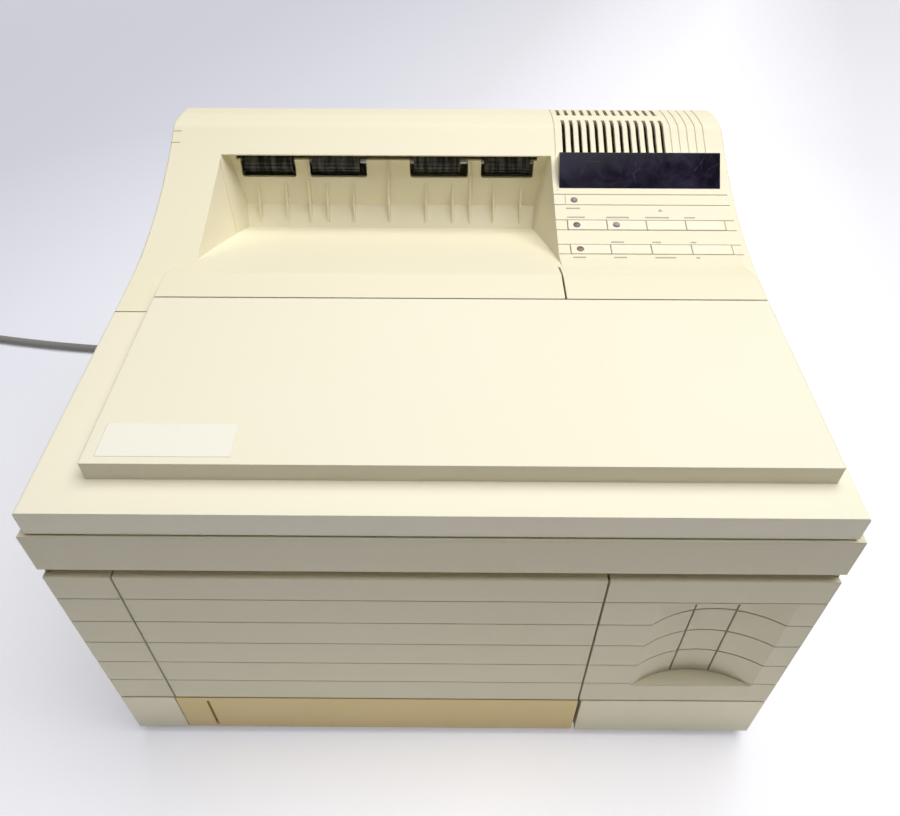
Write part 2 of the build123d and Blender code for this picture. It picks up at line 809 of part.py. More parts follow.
def groove_cut(x_low, x_high, depth_y=front_y):
    """Shallow level grooves across a front panel."""
    for i in range(groove_count):
        z = groove_first_z - i * groove_pitch
        prism_x(
            [(depth_y - 1, z - groove_size), (depth_y + groove_depth, z), (depth_y - 1, z + groove_size)],
            (x_low, x_high),
            mode=Mode.SUBTRACT,
        )


left_panel_x = (-half_width, door_x[0] - door_gap)
right_panel_x = (door_x[1] + door_gap, half_width)

with BuildPart() as left_front_panel:
    block(left_panel_x, (front_y, panel_back_y), (panel_z, panel_top))
    block((-tab_x, left_panel_x[1]), top_return, (panel_top - return_thickness, panel_top))
    block((left_panel_x[1] - jamb_thickness, left_panel_x[1]), (panel_back_y, panel_back_y + jamb_depth),
          (panel_z, panel_top - return_thickness))
    block((-tab_x, -tab_x + tab_thickness), (panel_back_y, panel_back_y + tab_depth),
          (panel_z, panel_top - return_thickness))
    rod_x(door_axis, stub_radius + running, (left_panel_x[1] - jamb_thickness, left_panel_x[1] + 1),
          mode=Mode.SUBTRACT)
    groove_cut(left_panel_x[0] - 1, left_panel_x[1] + 1)
save(left_front_panel, "left_front_panel")

scoop_middle = sum(scoop_x) / 2
scoop_half = (scoop_x[1] - scoop_x[0]) / 2
scoop_radius = (scoop_half**2 + scoop_depth**2) / (2 * scoop_depth)
scoop_center = (scoop_middle, front_y + scoop_depth - scoop_radius)
scoop_wall = 3.0
scoop_edge = 5.0
scoop_back_y = front_y + 1.5


def scoop_block(radius, z_low, z_high, x_span, y_low):
    """Part of an upright cylinder about the scoop's centre, behind a given depth."""
    with BuildPart(mode=Mode.PRIVATE) as shape:
        rod_z(scoop_center, radius, (z_low, z_high))
        block(x_span, (y_low, front_y + scoop_depth + 2 * scoop_wall), (z_low, z_high), mode=Mode.INTERSECT)
    return shape.part


def scoop_grooves(x_low, x_high):
    """The panel's level grooves carried round the scoop."""
    for i in range(1, groove_count - 1):
        z = groove_first_z - i * groove_pitch
        add(scoop_block(scoop_radius + 0.5, z - 0.5, z + 0.5, (x_low, x_high), front_y - 1),
            mode=Mode.SUBTRACT)


button_opening = (button_x[0] - button_gap, button_x[1] + button_gap)

with BuildPart() as right_front_panel:
    block(right_panel_x, (front_y, panel_back_y), (panel_z, panel_top))
    block((right_panel_x[0], tab_x), top_return, (panel_top - return_thickness, panel_top))
    block((right_panel_x[0], right_panel_x[0] + jamb_thickness), (panel_back_y, panel_back_y + jamb_depth),
          (panel_z, panel_top - return_thickness))
    block((tab_x - tab_thickness, tab_x), (panel_back_y, panel_back_y + tab_depth),
          (panel_z, panel_top - return_thickness))
    rod_x(door_axis, stub_radius + running, (right_panel_x[0] - 1, right_panel_x[0] + jamb_thickness),
          mode=Mode.SUBTRACT)
    groove_cut(right_panel_x[0] - 1, right_panel_x[1] + 1)
    add(scoop_block(scoop_radius + scoop_wall, scoop_z[0] - scoop_wall, scoop_z[1] + scoop_wall,
                    (scoop_x[0] - scoop_edge, scoop_x[1] + scoop_edge), scoop_back_y))
    add(scoop_block(scoop_radius, *scoop_z, (scoop_x[0] - 1, scoop_x[1] + 1), front_y - 2),
        mode=Mode.SUBTRACT)
    scoop_grooves(*scoop_x)
    block(button_opening, (front_y + 1, front_y + scoop_depth + 2 * scoop_wall), scoop_z, mode=Mode.SUBTRACT)
save(right_front_panel, "right_front_panel")

rod_place = (scoop_middle, 80.0)
rod_radius = 3.0
rod_socket = 5.0
rod_socket_depth = 6.0
button_clear = 0.5
button_back_y = front_y + scoop_depth + scoop_wall
switch_y = (-40.0, -6.0)

with BuildPart() as power_button:
    add(scoop_block(scoop_radius + scoop_wall, scoop_z[0] + button_clear,
                    scoop_z[1] - button_clear, button_x,
                    scoop_back_y))
    add(scoop_block(scoop_radius, *scoop_z, scoop_x, front_y - 2), mode=Mode.SUBTRACT)
    scoop_grooves(*scoop_x)
    rod_y(rod_place, rod_socket, (button_back_y - 0.8, button_back_y + rod_socket_depth))
    rod_y(rod_place, rod_radius, (button_back_y, button_back_y + rod_socket_depth + 1), mode=Mode.SUBTRACT)
save(power_button, "power_button")

with BuildPart() as power_rod:
    rod_y(rod_place, rod_radius, (button_back_y, switch_y[1] - 8))
save(power_rod, "power_rod")

strip_return = 6.0
with BuildPart() as left_base_strip:
    strip_x = (-half_width, cassette_x[0] - cassette_gap_left)
    block(strip_x, (front_y, panel_back_y), (base_z, strip_top))
    block((-tab_x, -tab_x + tab_thickness), (panel_back_y, panel_back_y + tab_depth), (pan_top, strip_top))
    block((strip_x[1] - return_thickness, strip_x[1]), (panel_back_y, panel_back_y + strip_return),
          (pan_top, strip_top))
save(left_base_strip, "left_base_strip")

with BuildPart() as right_base_strip:
    strip_x = (cassette_x[1] + cassette_gap_right, half_width)
    block(strip_x, (front_y, panel_back_y), (base_z, strip_top))
    block((tab_x - tab_thickness, tab_x), (panel_back_y, panel_back_y + tab_depth), (pan_top, strip_top))
    block((strip_x[0], strip_x[0] + return_thickness), (panel_back_y, panel_back_y + strip_return),
          (pan_top, strip_top))
save(right_base_strip, "right_base_strip")

# Display and controls
with BuildPart() as display_window:
    prism_x(display_outline(0, 0, display_length, display_thickness), display_x)
    fillet(display_window.edges().filter_by(Axis.X).sort_by(Axis.Z)[-1:], 0.8)
save(display_window, "display_window")

board_foot = (6.0, swoop_z(14.0) - 11.9)
board_slope = 15.26
board_size = (key_field[1] - key_field[0] + 8.0, 62.0, 1.6)
post_places = [(x, y) for x in (key_field[0] - 2.0, key_field[1] + 2.0) for y in (20.0, 42.0)]
post_radius = 1.6
post_height = 5.8
with BuildPart() as control_board:
    with Locations(Location((0, board_foot[0], board_foot[1]), (board_slope, 0, 0))):
        with Locations((sum(key_field) / 2, board_size[1] / 2, -board_size[2] / 2)):
            Box(*board_size)
        with Locations(*[(x, y, post_height / 2 - 0.1) for x, y in post_places]):
            Cylinder(post_radius, post_height)
save(control_board, "control_board")

key_edge = 0.3
number = 0
for y in key_rows:
    for i in range(key_count):
        number += 1
        x_low = key_first_x + i * key_pitch + key_gap / 2
        with BuildPart() as key:
            key_block(x_low, x_low + key_pitch - key_gap, y, key_depth - key_gap / 2,
                      -key_height + key_proud,
                      key_proud)
            fillet(key.faces().sort_by(Axis.Z)[-1].edges(), key_edge)
        save(key, f"key_{number}")

# Tray door
barrel_radius = 4.0
door_skin = 3.0
door_back_y = front_y + door_skin
door_middle = sum(door_x) / 2
rib_y = front_y + 8.5
door_ribs_x = (door_x[0] + 6.0, door_x[1] - 6.0)
guide_base_y = (rib_y + 0.1, rib_y + 2.5)
guide_fence_y = (guide_base_y[1], guide_base_y[1] + 12.6)
guide_fence_z = (68.0, 150.0)
rack_z = (76.0, 90.0)
guide_half = 108.0
gear_module = 1.5
guide_teeth = 16
guide_pitch_radius = gear_module * guide_teeth / 2
pinion_z = sum(rack_z) / 2
rack_height = 6.0
extension_x = (door_middle - 67.5, door_middle + 67.5)
extension_y = (front_y + 9.5, front_y + 12.0)
extension_z = (104.0, 182.0)
rail_z = (108.0, 178.0)
rail_lip = 1.5

with BuildPart() as tray_door:
    block(door_x, (front_y, door_back_y), (panel_z, panel_top))
    block(door_x, (door_back_y, top_return[1]), (panel_top - return_thickness, panel_top))
    rod_x(door_axis, barrel_radius, door_x)
    block(door_x, (door_back_y - 0.5, door_axis[0]), (door_axis[1] - 1.5, door_axis[1] + 4))
    for x in door_ribs_x:
        block((x - 1, x + 1), (door_back_y, rib_y), (door_axis[1] + 5, panel_top - return_thickness))
    for z in (guide_fence_z[0] - 1.5, rack_z[1] + 11.5):
        block(door_ribs_x, (door_back_y, rib_y), (z - 1, z + 1))
    rod_y((door_middle, pinion_z), 3.0, (door_back_y, guide_base_y[1]))
    for edge, side in zip(extension_x, (-1, 1)):
        outside = sorted((edge + side * running, edge + side * 3))
        block(outside, (door_back_y, extension_y[1] + running + rail_lip), rail_z)
        block(sorted((edge - side * 3, edge + side * 3)),
              (extension_y[1] + running, extension_y[1] + running + rail_lip), rail_z)
        block(sorted((edge - side * 8, edge - side * 4)), (door_back_y, extension_y[0] - running), rail_z)
    for x_span in ((door_x[0] - door_gap - 3, door_x[0]), (door_x[1], door_x[1] + door_gap + 3)):
        rod_x(door_axis, stub_radius, x_span)
    groove_cut(door_x[0] - 1, door_x[1] + 1)
save(tray_door, "tray_door")


def gear_profile(teeth, module, bore=0.0, turn=0.0):
    """Spur gear section with straight-sided teeth and working clearance."""
    pitch_radius = teeth * module / 2
    root = pitch_radius - 1.25 * module
    tip = pitch_radius + 0.9 * module
    step = 360 / teeth
    Circle(root + 0.2)
    for i in range(teeth):
        angle = turn + i * step
        with BuildLine() as tooth:
            Polyline(
                *[
                    (r * cos(radians(angle + a * step)), r * sin(radians(angle + a * step)))
                    for r, a in ((root, -0.30), (tip, -0.10), (tip, 0.10), (root, 0.30))
                ],
                close=True,
            )
        make_face(tooth.edges())
    if bore > 0:
        Circle(bore, mode=Mode.SUBTRACT)


pinion_thickness = 1.8
pinion_y = guide_base_y[0] + 0.3
with BuildPart() as guide_pinion:
    pinion_plane = Plane(origin=(door_middle, pinion_y, pinion_z), x_dir=(1, 0, 0), z_dir=(0, 1, 0))
    with BuildSketch(pinion_plane):
        gear_profile(guide_teeth, gear_module, 3.0 + running)
    extrude(amount=pinion_thickness)
save(guide_pinion, "guide_pinion")

tooth_pitch = pi * gear_module
rack_reach = 60.0


def paper_guide(side):
    """Paper guide with its rack; side is -1 for the left guide and +1 for the right one."""
    with BuildPart(mode=Mode.PRIVATE) as shape:
        fence = sorted((door_middle + side * guide_half, door_middle + side * (guide_half + 2.4)))
        block(fence, guide_fence_y, guide_fence_z)
        foot_x = sorted((door_middle + side * (guide_half + 2.4), door_middle + side * (guide_half - 30)))
        back = side * (guide_pitch_radius + 1.25 * gear_module)
        other_tip = pinion_z - side * (guide_pitch_radius - 0.9 * gear_module)
        block(foot_x, guide_base_y, sorted((pinion_z + back + side * rack_height, other_tip + side * 0.8)))
        rack_x = sorted((door_middle + side * (guide_half - 20), door_middle - side * rack_reach))
        rack_span = sorted((pinion_z + back, pinion_z + back + side * rack_height))
        block(rack_x, guide_base_y, rack_span)
        teeth = int((rack_x[1] - rack_x[0]) / tooth_pitch) - 2
        for i in range(-teeth // 2, teeth // 2 + 1):
            x = door_middle + (i + 0.5) * tooth_pitch
            if rack_x[0] + 2 < x < rack_x[1] - 2:
                root = pinion_z + back + side * 0.2
                tip = pinion_z + side * (guide_pitch_radius - 0.9 * gear_module)
                with BuildSketch(Plane.XZ.offset(-guide_base_y[0])) as tooth:
                    with BuildLine():
                        Polyline(
                            (x - 0.30 * tooth_pitch, root),
                            (x - 0.10 * tooth_pitch, tip),
                            (x + 0.10 * tooth_pitch, tip),
                            (x + 0.30 * tooth_pitch, root),
                            close=True,
                        )
                    make_face()
                extrude(tooth.sketch, amount=-(guide_base_y[1] - guide_base_y[0]))
    return shape


for side, name in ((-1, "paper_guide_left"), (1, "paper_guide_right")):
    save(paper_guide(side), name)

with BuildPart() as tray_extension:
    block(extension_x, extension_y, extension_z)
    block((door_middle - 20, door_middle + 20), (extension_y[0] - 1, extension_y[1] + 1),
          (extension_z[1] - 12, extension_z[1] - 4), mode=Mode.SUBTRACT)
save(tray_extension, "tray_extension")

# Cassette
tray_z = (13.0, 50.0)
tray_y = (panel_back_y, panel_back_y + tray_depth)
tray_front_wall_y = (panel_back_y + 5.0, panel_back_y + 5.0 + tray_wall)
gauge_z = 14.0
gauge_travel = 30.0
with BuildPart() as cassette_front:
    front_z = (base_z + cassette_lift, strip_top)
    block(cassette_x, (front_y, panel_back_y), front_z)
    block((tray_x[0] + tray_wall + 0.5, tray_x[1] - tray_wall - 0.5), (panel_back_y, panel_back_y + 3),
          (tray_z[0] - 0.8, tray_z[0] + 1.2))
    block((gauge_x - gauge_slot / 2, gauge_x + gauge_slot / 2), (front_y - 1, panel_back_y + 1),
          (gauge_z, gauge_z + gauge_travel + 4), mode=Mode.SUBTRACT)
save(cassette_front, "cassette_front")

with BuildPart() as cassette_tray:
    block(tray_x, tray_y, tray_z)
    block((tray_x[0] + tray_wall, tray_x[1] - tray_wall), (tray_front_wall_y[1], tray_y[1] - tray_wall),
          (tray_z[0] + tray_wall, tray_z[1] + 1), mode=Mode.SUBTRACT)
    block((tray_x[0] + tray_wall, tray_x[1] - tray_wall), (tray_y[0] - 1, tray_front_wall_y[0]),
          (tray_z[0] - 1, tray_z[1] + 1), mode=Mode.SUBTRACT)
    rod_x(lift_hinge, 1.5 + running, (tray_x[0] + 0.5, tray_x[1] - 0.5), mode=Mode.SUBTRACT)
save(cassette_tray, "cassette_tray")

plate_x = (tray_x[0] + 10.0, tray_x[1] - 8.0)
with BuildPart() as lift_plate:
    rise_z = 44.0
    prism_x(
        [(lift_hinge[0], lift_hinge[1] - 0.7), (lift_front_y, rise_z - 0.7), (lift_front_y, rise_z + 0.7),
         (lift_hinge[0], lift_hinge[1] + 0.7)],
        plate_x,
    )
    rod_x(lift_hinge, 1.5, (tray_x[0] + 0.8, tray_x[1] - 0.8))
    rod_x(lift_hinge, 2.4, plate_x)
save(lift_plate, "lift_plate")

with BuildPart() as level_gauge:
    block((gauge_x - 4, gauge_x + 4), (panel_back_y + 0.2, tray_front_wall_y[0] - 0.3),
          (gauge_z + 0.4, gauge_z + 4.4))
    block((gauge_x - 0.6, gauge_x + 0.6), (front_y + 0.4, panel_back_y + 0.4),
          (gauge_z + 0.4, gauge_z + 3.8))
save(level_gauge, "level_gauge")

stop_y = 90.0
with BuildPart() as length_stop:
    block((-60, -24), (stop_y, stop_y + 3), (tray_z[0] + tray_wall + 0.1, tray_z[1] - 3))
    block((-60, -24), (stop_y + 3, stop_y + 16), (tray_z[0] + tray_wall + 0.1, tray_z[0] + tray_wall + 4))
save(length_stop, "length_stop")

# Chassis
registration_axis = (-108.0, 102.0)
registration_radius = 7.0
transfer_axis = (-62.0, 104.7)
transfer_radius = 8.0
drum_axis = (-62.0, 128.0)
drum_radius = 15.0
tray_pickup_axis = (-158.0, 120.0)
tray_pickup_radius = 14.0
cassette_pickup_axis = (-150.0, 72.0)
cassette_pickup_radius = 16.0
heat_axis = (140.0, 130.2)
pressure_axis = (140.0, 99.8)
fuser_radius = 15.0
drive_teeth = 48
drum_teeth = 24
motor_teeth = 12
drum_gear_radius = gear_module * drum_teeth / 2
drive_gear_radius = gear_module * drive_teeth / 2
motor_gear_radius = gear_module * motor_teeth / 2
drive_axis = (drum_axis[0] + drum_gear_radius + drive_gear_radius, drum_axis[1])
motor_axis = (drive_axis[0] + drive_gear_radius + motor_gear_radius, drum_axis[1])
gear_x = (frame_x[0] - 12.0, frame_x[0] - 5.0)
roller_x = (-150.0, 66.0)
frame_inner = (frame_x[0] + plate_thickness, frame_x[1])
scanner_x = (-120.0, 40.0)
scanner_y = (-40.0, 90.0)
scanner_z = (150.0, 208.0)
scanner_wall = 3.0
beam_slot_x = (-100.0, 20.0)
beam_slot_z = (scanner_z[0] + 6.0, scanner_z[0] + 14.0)
mirror_place = (-40.0, 50.0)
mirror_spindle = 3.0
mirror_radius = 14.0
mirror_z = scanner_z[0] + 6.0
cassette_clear_z = 51.5
drive_spindle = 4.0
motor_spindle = 2.5
motor_radius = 18.0
motor_length = 30.0
deck_y = (-128.0, 100.0)
deck_z = 88.0
brace_y = (150.0, 190.0)
fuser_y = (108.0, 178.0)
fuser_z = (82.0, 150.0)
fuser_x = (frame_inner[0], frame_inner[1])
shaft_axes = (registration_axis, transfer_axis, drum_axis, tray_pickup_axis, cassette_pickup_axis)

with BuildPart() as engine_frame:
    for low in frame_x:
        block((low, low + plate_thickness), (frame_y[0] + 2, frame_y[1]), (pan_top, frame_top))
        block((low - 1, low + plate_thickness + 1), (frame_y[0] + 1, fuser_y[0] + 34.0),
              (pan_top + 1, cassette_clear_z), mode=Mode.SUBTRACT)
        for axis in shaft_axes:
            rod_x(axis, shaft_radius + running, (low - 1, low + plate_thickness + 1), mode=Mode.SUBTRACT)
    rod_x(drive_axis, drive_spindle + running, (frame_x[0] - 1, frame_x[0] + 2), mode=Mode.SUBTRACT)
    rod_x(motor_axis, motor_spindle + running, (frame_x[0] - 1, frame_x[0] + 2), mode=Mode.SUBTRACT)
    block(frame_inner, deck_y, (deck_z, deck_z + plate_thickness))
    block(frame_inner, brace_y, (frame_top - plate_thickness, frame_top))
    for x in frame_x:
        block((x - flange, x + plate_thickness), (brace_y[0] - 6, brace_y[1] - 2),
              (pan_top, pan_top + plate_thickness))
save(engine_frame, "engine_frame")


def roller(axis, radius, spans, shaft_span, shaft=shaft_radius):
    """Rubber roller on its shaft."""
    with BuildPart(mode=Mode.PRIVATE) as shape:
        rod_x(axis, shaft, shaft_span)
        for span in spans:
            rod_x(axis, radius, span)
    return shape


shaft_span = (frame_x[0] - 2.0, frame_x[1] + plate_thickness + 2.0)
save(roller(registration_axis, registration_radius, [roller_x], shaft_span), "registration_roller")
save(roller(transfer_axis, transfer_radius, [roller_x], shaft_span), "transfer_roller")
save(roller(tray_pickup_axis, tray_pickup_radius, [(door_middle - 20, door_middle + 20)], shaft_span),
     "tray_pickup_roller")
save(roller(cassette_pickup_axis, cassette_pickup_radius, [(door_middle - 45, door_middle - 15),
                                                           (door_middle + 15, door_middle + 45)],
                                                           shaft_span),
     "cassette_pickup_roller")

with BuildPart() as photo_drum:
    rod_x(drum_axis, shaft_radius, (gear_x[0], shaft_span[1]))
    rod_x(drum_axis, drum_radius, (roller_x[0] - 8, roller_x[1] + 8))
    with BuildSketch(Plane(origin=(gear_x[0], *drum_axis), x_dir=(0, 1, 0), z_dir=(1, 0, 0))):
        gear_profile(drum_teeth, gear_module)
    extrude(amount=gear_x[1] - gear_x[0])
save(photo_drum, "photo_drum")

with BuildPart() as drive_gear:
    rod_x(drive_axis, drive_spindle, (gear_x[0], frame_x[0] + 8))
    with BuildSketch(Plane(origin=(gear_x[0], *drive_axis), x_dir=(0, 1, 0), z_dir=(1, 0, 0))):
        gear_profile(drive_teeth, gear_module, 0.0, 360 / drive_teeth / 2)
    extrude(amount=gear_x[1] - gear_x[0])
save(drive_gear, "drive_gear")

with BuildPart() as motor_pinion:
    rod_x(motor_axis, motor_spindle, (gear_x[0], frame_x[0] + 22))
    with BuildSketch(Plane(origin=(gear_x[0], *motor_axis), x_dir=(0, 1, 0), z_dir=(1, 0, 0))):
        gear_profile(motor_teeth, gear_module)
    extrude(amount=gear_x[1] - gear_x[0])
save(motor_pinion, "motor_pinion")

with BuildPart() as drive_motor:
    rod_x(motor_axis, motor_radius, (frame_inner[0], frame_inner[0] + motor_length))
    rod_x(motor_axis, motor_spindle + running, (frame_inner[0] - 1, frame_inner[0] + motor_length - 6),
          mode=Mode.SUBTRACT)
save(drive_motor, "drive_motor")

cartridge_side = [(-140, 140), (-100, 112), (-84, 112), (-84, 118), (-40, 118), (-40, 178), (-60, 196),
                  (-150, 200), (-160, 190)]
cartridge_x = (roller_x[0] - 16.0, roller_x[1] + 16.0)
drum_bay_x = (roller_x[0] - 10.0, roller_x[1] + 10.0)
drum_bay_radius = drum_radius + 1.2
grip_x = (-100.0, 16.0)
with BuildPart() as toner_cartridge:
    prism_x(cartridge_side, cartridge_x)
    rod_x(drum_axis, drum_bay_radius, drum_bay_x, mode=Mode.SUBTRACT)
    block(drum_bay_x, (drum_axis[0] - drum_bay_radius, drum_axis[0] + drum_bay_radius),
          (110.0, drum_axis[1]), mode=Mode.SUBTRACT)
    rod_x(drum_axis, shaft_radius + running, (cartridge_x[0] - 1, cartridge_x[1] + 1), mode=Mode.SUBTRACT)
    block(grip_x, (-150.0, -120.0), (186.0, 202.0), mode=Mode.SUBTRACT)
    block((grip_x[0] - 1, grip_x[1] + 1), (-138.0, -132.0), (190.0, 197.0))
save(toner_cartridge, "toner_cartridge")

with BuildPart() as laser_scanner:
    block(frame_inner, scanner_y, (scanner_z[0], scanner_z[0] + 2))
    block(scanner_x, scanner_y, scanner_z)
    block((scanner_x[0] + scanner_wall, scanner_x[1] - scanner_wall),
          (scanner_y[0] + scanner_wall, scanner_y[1] - scanner_wall),
          (scanner_z[0] + scanner_wall, scanner_z[1] - scanner_wall), mode=Mode.SUBTRACT)
    block(beam_slot_x, (scanner_y[0] - 1, scanner_y[0] + scanner_wall + 1), beam_slot_z, mode=Mode.SUBTRACT)
    rod_z(mirror_place, mirror_spindle + running, (scanner_z[0] - 1, scanner_z[0] + scanner_wall + 1),
          mode=Mode.SUBTRACT)
save(laser_scanner, "laser_scanner")

with BuildPart() as polygon_mirror:
    with BuildSketch(Plane.XY.offset(mirror_z)):
        with Locations(mirror_place):
            RegularPolygon(mirror_radius, 6)
    extrude(amount=8)
    rod_z(mirror_place, mirror_spindle, (scanner_z[0] + 0.2, mirror_z + 12))
save(polygon_mirror, "polygon_mirror")

fuser_shaft = 4.0
fuser_end = 5.0
fuser_clear = 1.3
fuser_slot_z = (112.0, 118.0)
with BuildPart() as fuser_housing:
    block(fuser_x, fuser_y, fuser_z)
    for axis in (heat_axis, pressure_axis):
        rod_x(axis, fuser_radius + fuser_clear, (fuser_x[0] + fuser_end, fuser_x[1] - fuser_end),
              mode=Mode.SUBTRACT)
        rod_x(axis, fuser_shaft + running, (fuser_x[0] - 1, fuser_x[1] + 1), mode=Mode.SUBTRACT)
    block(roller_x, (fuser_y[0] - 1, fuser_y[1] + 1), fuser_slot_z, mode=Mode.SUBTRACT)
save(fuser_housing, "fuser_housing")
for axis, name in ((heat_axis, "heat_roller"), (pressure_axis, "pressure_roller")):
    save(roller(axis, fuser_radius, [(roller_x[0] - 8, roller_x[1] + 8)], fuser_x, fuser_shaft), name)

exit_gear_radius = 8.0
with BuildPart() as exit_shaft:
    rod_x(exit_axis, shaft_radius, exit_shaft_x)
    rod_x(exit_axis, exit_gear_radius, (exit_bearing_x[0] - 6, exit_bearing_x[0] - 1))
save(exit_shaft, "exit_shaft")

rib_count = 18
rib_groove = 1.2
with BuildPart() as exit_rollers:
    for low, high in exit_roller_x:
        with BuildSketch(Plane.YZ.offset(low)):
            with Locations(exit_axis):
                Circle(exit_roller_radius)
                with PolarLocations(exit_roller_radius, rib_count):
                    Rectangle(rib_groove, rib_groove, mode=Mode.SUBTRACT)
                Circle(shaft_radius, mode=Mode.SUBTRACT)
        extrude(amount=high - low)
save(exit_rollers, "exit_rollers")

# Rear
rear_door_x = (rear_opening[0][0] + 0.6, rear_opening[0][1] - 0.6)
rear_door_z = (77.0, rear_opening[1][1] - 0.7)
rear_pull = ((-62.0, -22.0), (180.0, 190.0))
rear_pull_depth = 1.2
with BuildPart() as face_up_door:
    block(rear_door_x, (rear_inside + 0.2, rear_y), rear_door_z)
    rod_x(rear_door_axis, barrel_radius, rear_door_x)
    block(rear_door_x, (rear_door_axis[0], rear_inside + 0.5),
          (rear_door_axis[1] - 1.5, rear_door_axis[1] + 4))
    rod_x(rear_door_axis, stub_radius, (rear_flange_x[0][0] + 0.2, rear_flange_x[1][1] - 0.2))
    block(rear_pull[0], (rear_y - rear_pull_depth, rear_y + 1), rear_pull[1], mode=Mode.SUBTRACT)
save(face_up_door, "face_up_door")

supply_x = (102.0, 200.0)
supply_z = (pan_top, 90.0)
supply_slots = 6
supply_slot_pitch = 22.0
supply_slot_width = 8.0
with BuildPart() as power_supply:
    block(supply_x, (switch_y[0], 150.0), supply_z)
    rod_y(rod_place, rod_radius + running, (switch_y[0] - 1, switch_y[1]), mode=Mode.SUBTRACT)
    for i in range(supply_slots):
        y = 10.0 + i * supply_slot_pitch
        block((supply_x[0] + slot_edge, supply_x[1] - slot_edge), (y, y + supply_slot_width),
              (supply_z[1] - 2, supply_z[1] + 1), mode=Mode.SUBTRACT)
save(power_supply, "power_supply")

with BuildPart() as formatter_board:
    block((port_opening[0][0] + 1, port_opening[0][1] - 1), (rear_inside + 0.2, rear_y - 0.8),
          (port_opening[1][0] + 1, port_opening[1][1] - 1))
    block((port_opening[0][0] - 3, port_opening[0][1] + 3), (rear_inside - 1.6, rear_inside),
          (port_opening[1][0] - 3, port_opening[1][1] + 3))
    block((port_opening[0][0] + 1, port_opening[0][1] - 1), (rear_inside - 2, rear_inside + 1),
          (port_opening[1][0] + 1, port_opening[1][1] - 1))
    block((114, 186), (40.0, rear_inside - 1), (112.0, 113.6))
    block((118, 172), (rear_inside - 24, rear_y - 0.2), (113.6, 125.0))
    block((121, 169), (rear_y - 3.0, rear_y + 1), (116.0, 122.5), mode=Mode.SUBTRACT)
    block((118, 142), (rear_inside - 24, rear_y - 0.2), (140.0, 152.0))
    block((120.5, 139.5), (rear_y - 3.0, rear_y + 1), (142.5, 149.5), mode=Mode.SUBTRACT)
    for x in (130.0, 160.0):
        for y in (70.0, 110.0):
            block((x - 10, x + 10), (y - 10, y + 10), (113.6, 116.5))
    block((122, 138), (rear_inside - 24, rear_inside), (113.6, 141.0))
save(formatter_board, "formatter_board")

fan_center = (sum(fan_y) / 2, sum(fan_z) / 2)
fan_bore = 37.0
fan_hub = 15.0
fan_spider = 3.0
fan_arm = 4.0
fan_spindle = 2.0
with BuildPart() as cooling_fan:
    block(fan_x, fan_y, fan_z)
    rod_x(fan_center, fan_bore, (fan_x[0] - 1, fan_x[1] + 1), mode=Mode.SUBTRACT)
    rod_x(fan_center, fan_hub, (fan_x[0], fan_x[0] + fan_spider))
    block((fan_x[0], fan_x[0] + fan_spider), (fan_center[0] - fan_arm / 2, fan_center[0] + fan_arm / 2),
          (fan_center[1] - fan_bore - 1, fan_center[1] + fan_bore + 1))
    rod_x(fan_center, fan_spindle + running, (fan_x[0] - 1, fan_x[0] + fan_spider + 1), mode=Mode.SUBTRACT)
save(cooling_fan, "cooling_fan")

blade_count = 7
blade_start = 12.0
blade_length = 22.0
blade_section = (16.0, 1.6)
with BuildPart() as fan_impeller:
    hub_x = (fan_x[0] + 4.0, fan_x[1] - 3.0)
    rod_x(fan_center, fan_hub, hub_x)
    rod_x(fan_center, fan_spindle, (fan_x[0] + 0.5, hub_x[1]))
    for i in range(blade_count):
        angle = i * 2 * pi / blade_count
        start = (fan_center[0] + blade_start * cos(angle), fan_center[1] + blade_start * sin(angle))
        with BuildSketch(Plane(origin=(sum(hub_x) / 2, *start), x_dir=(1, 0, 0),
                               z_dir=(0, cos(angle), sin(angle)))):
            Rectangle(*blade_section, rotation=35)
        extrude(amount=blade_length)
save(fan_impeller, "fan_impeller")

# Mains inlet and lead
inlet_x = (inlet_opening[0][0] + 0.2, inlet_opening[0][1] - 0.2)
inlet_z = (inlet_opening[1][0] + 0.2, inlet_opening[1][1] - 0.2)
inlet_center = (sum(inlet_x) / 2, sum(inlet_z) / 2)
socket_size = (24.4, 17.4)
connector_size = (23.4, 16.4)
socket_depth = 13.0
with BuildPart() as ac_inlet:
    block(inlet_x, (rear_inside - 16, rear_y), inlet_z)
    block((inlet_x[0] - 5, inlet_x[1] + 5), (rear_inside - 3, rear_inside), (inlet_z[0] - 4, inlet_z[1] + 4))
    block((inlet_center[0] - socket_size[0] / 2, inlet_center[0] + socket_size[0] / 2),
          (rear_y - socket_depth, rear_y + 1),
          (inlet_center[1] - socket_size[1] / 2, inlet_center[1] + socket_size[1] / 2), mode=Mode.SUBTRACT)
save(ac_inlet, "ac_inlet")

cord_diameter = 8.5
cord_radius = cord_diameter / 2
connector_y = (rear_y - socket_depth, rear_y + 20.0)
relief_length = 28.0
cord_start = (inlet_center[0], connector_y[1] + relief_length, inlet_center[1])
with BuildPart() as power_connector:
    block((inlet_center[0] - connector_size[0] / 2, inlet_center[0] + connector_size[0] / 2), connector_y,
          (inlet_center[1] - connector_size[1] / 2, inlet_center[1] + connector_size[1] / 2))
    fillet(power_connector.edges().filter_by(Axis.Y), 2.5)
    with Locations(Location((inlet_center[0], connector_y[1], inlet_center[1]), (-90, 0, 0))):
        Cone(7.6, cord_radius + 1.0, relief_length, align=(Align.CENTER, Align.CENTER, Align.MIN))
save(power_connector, "power_connector")

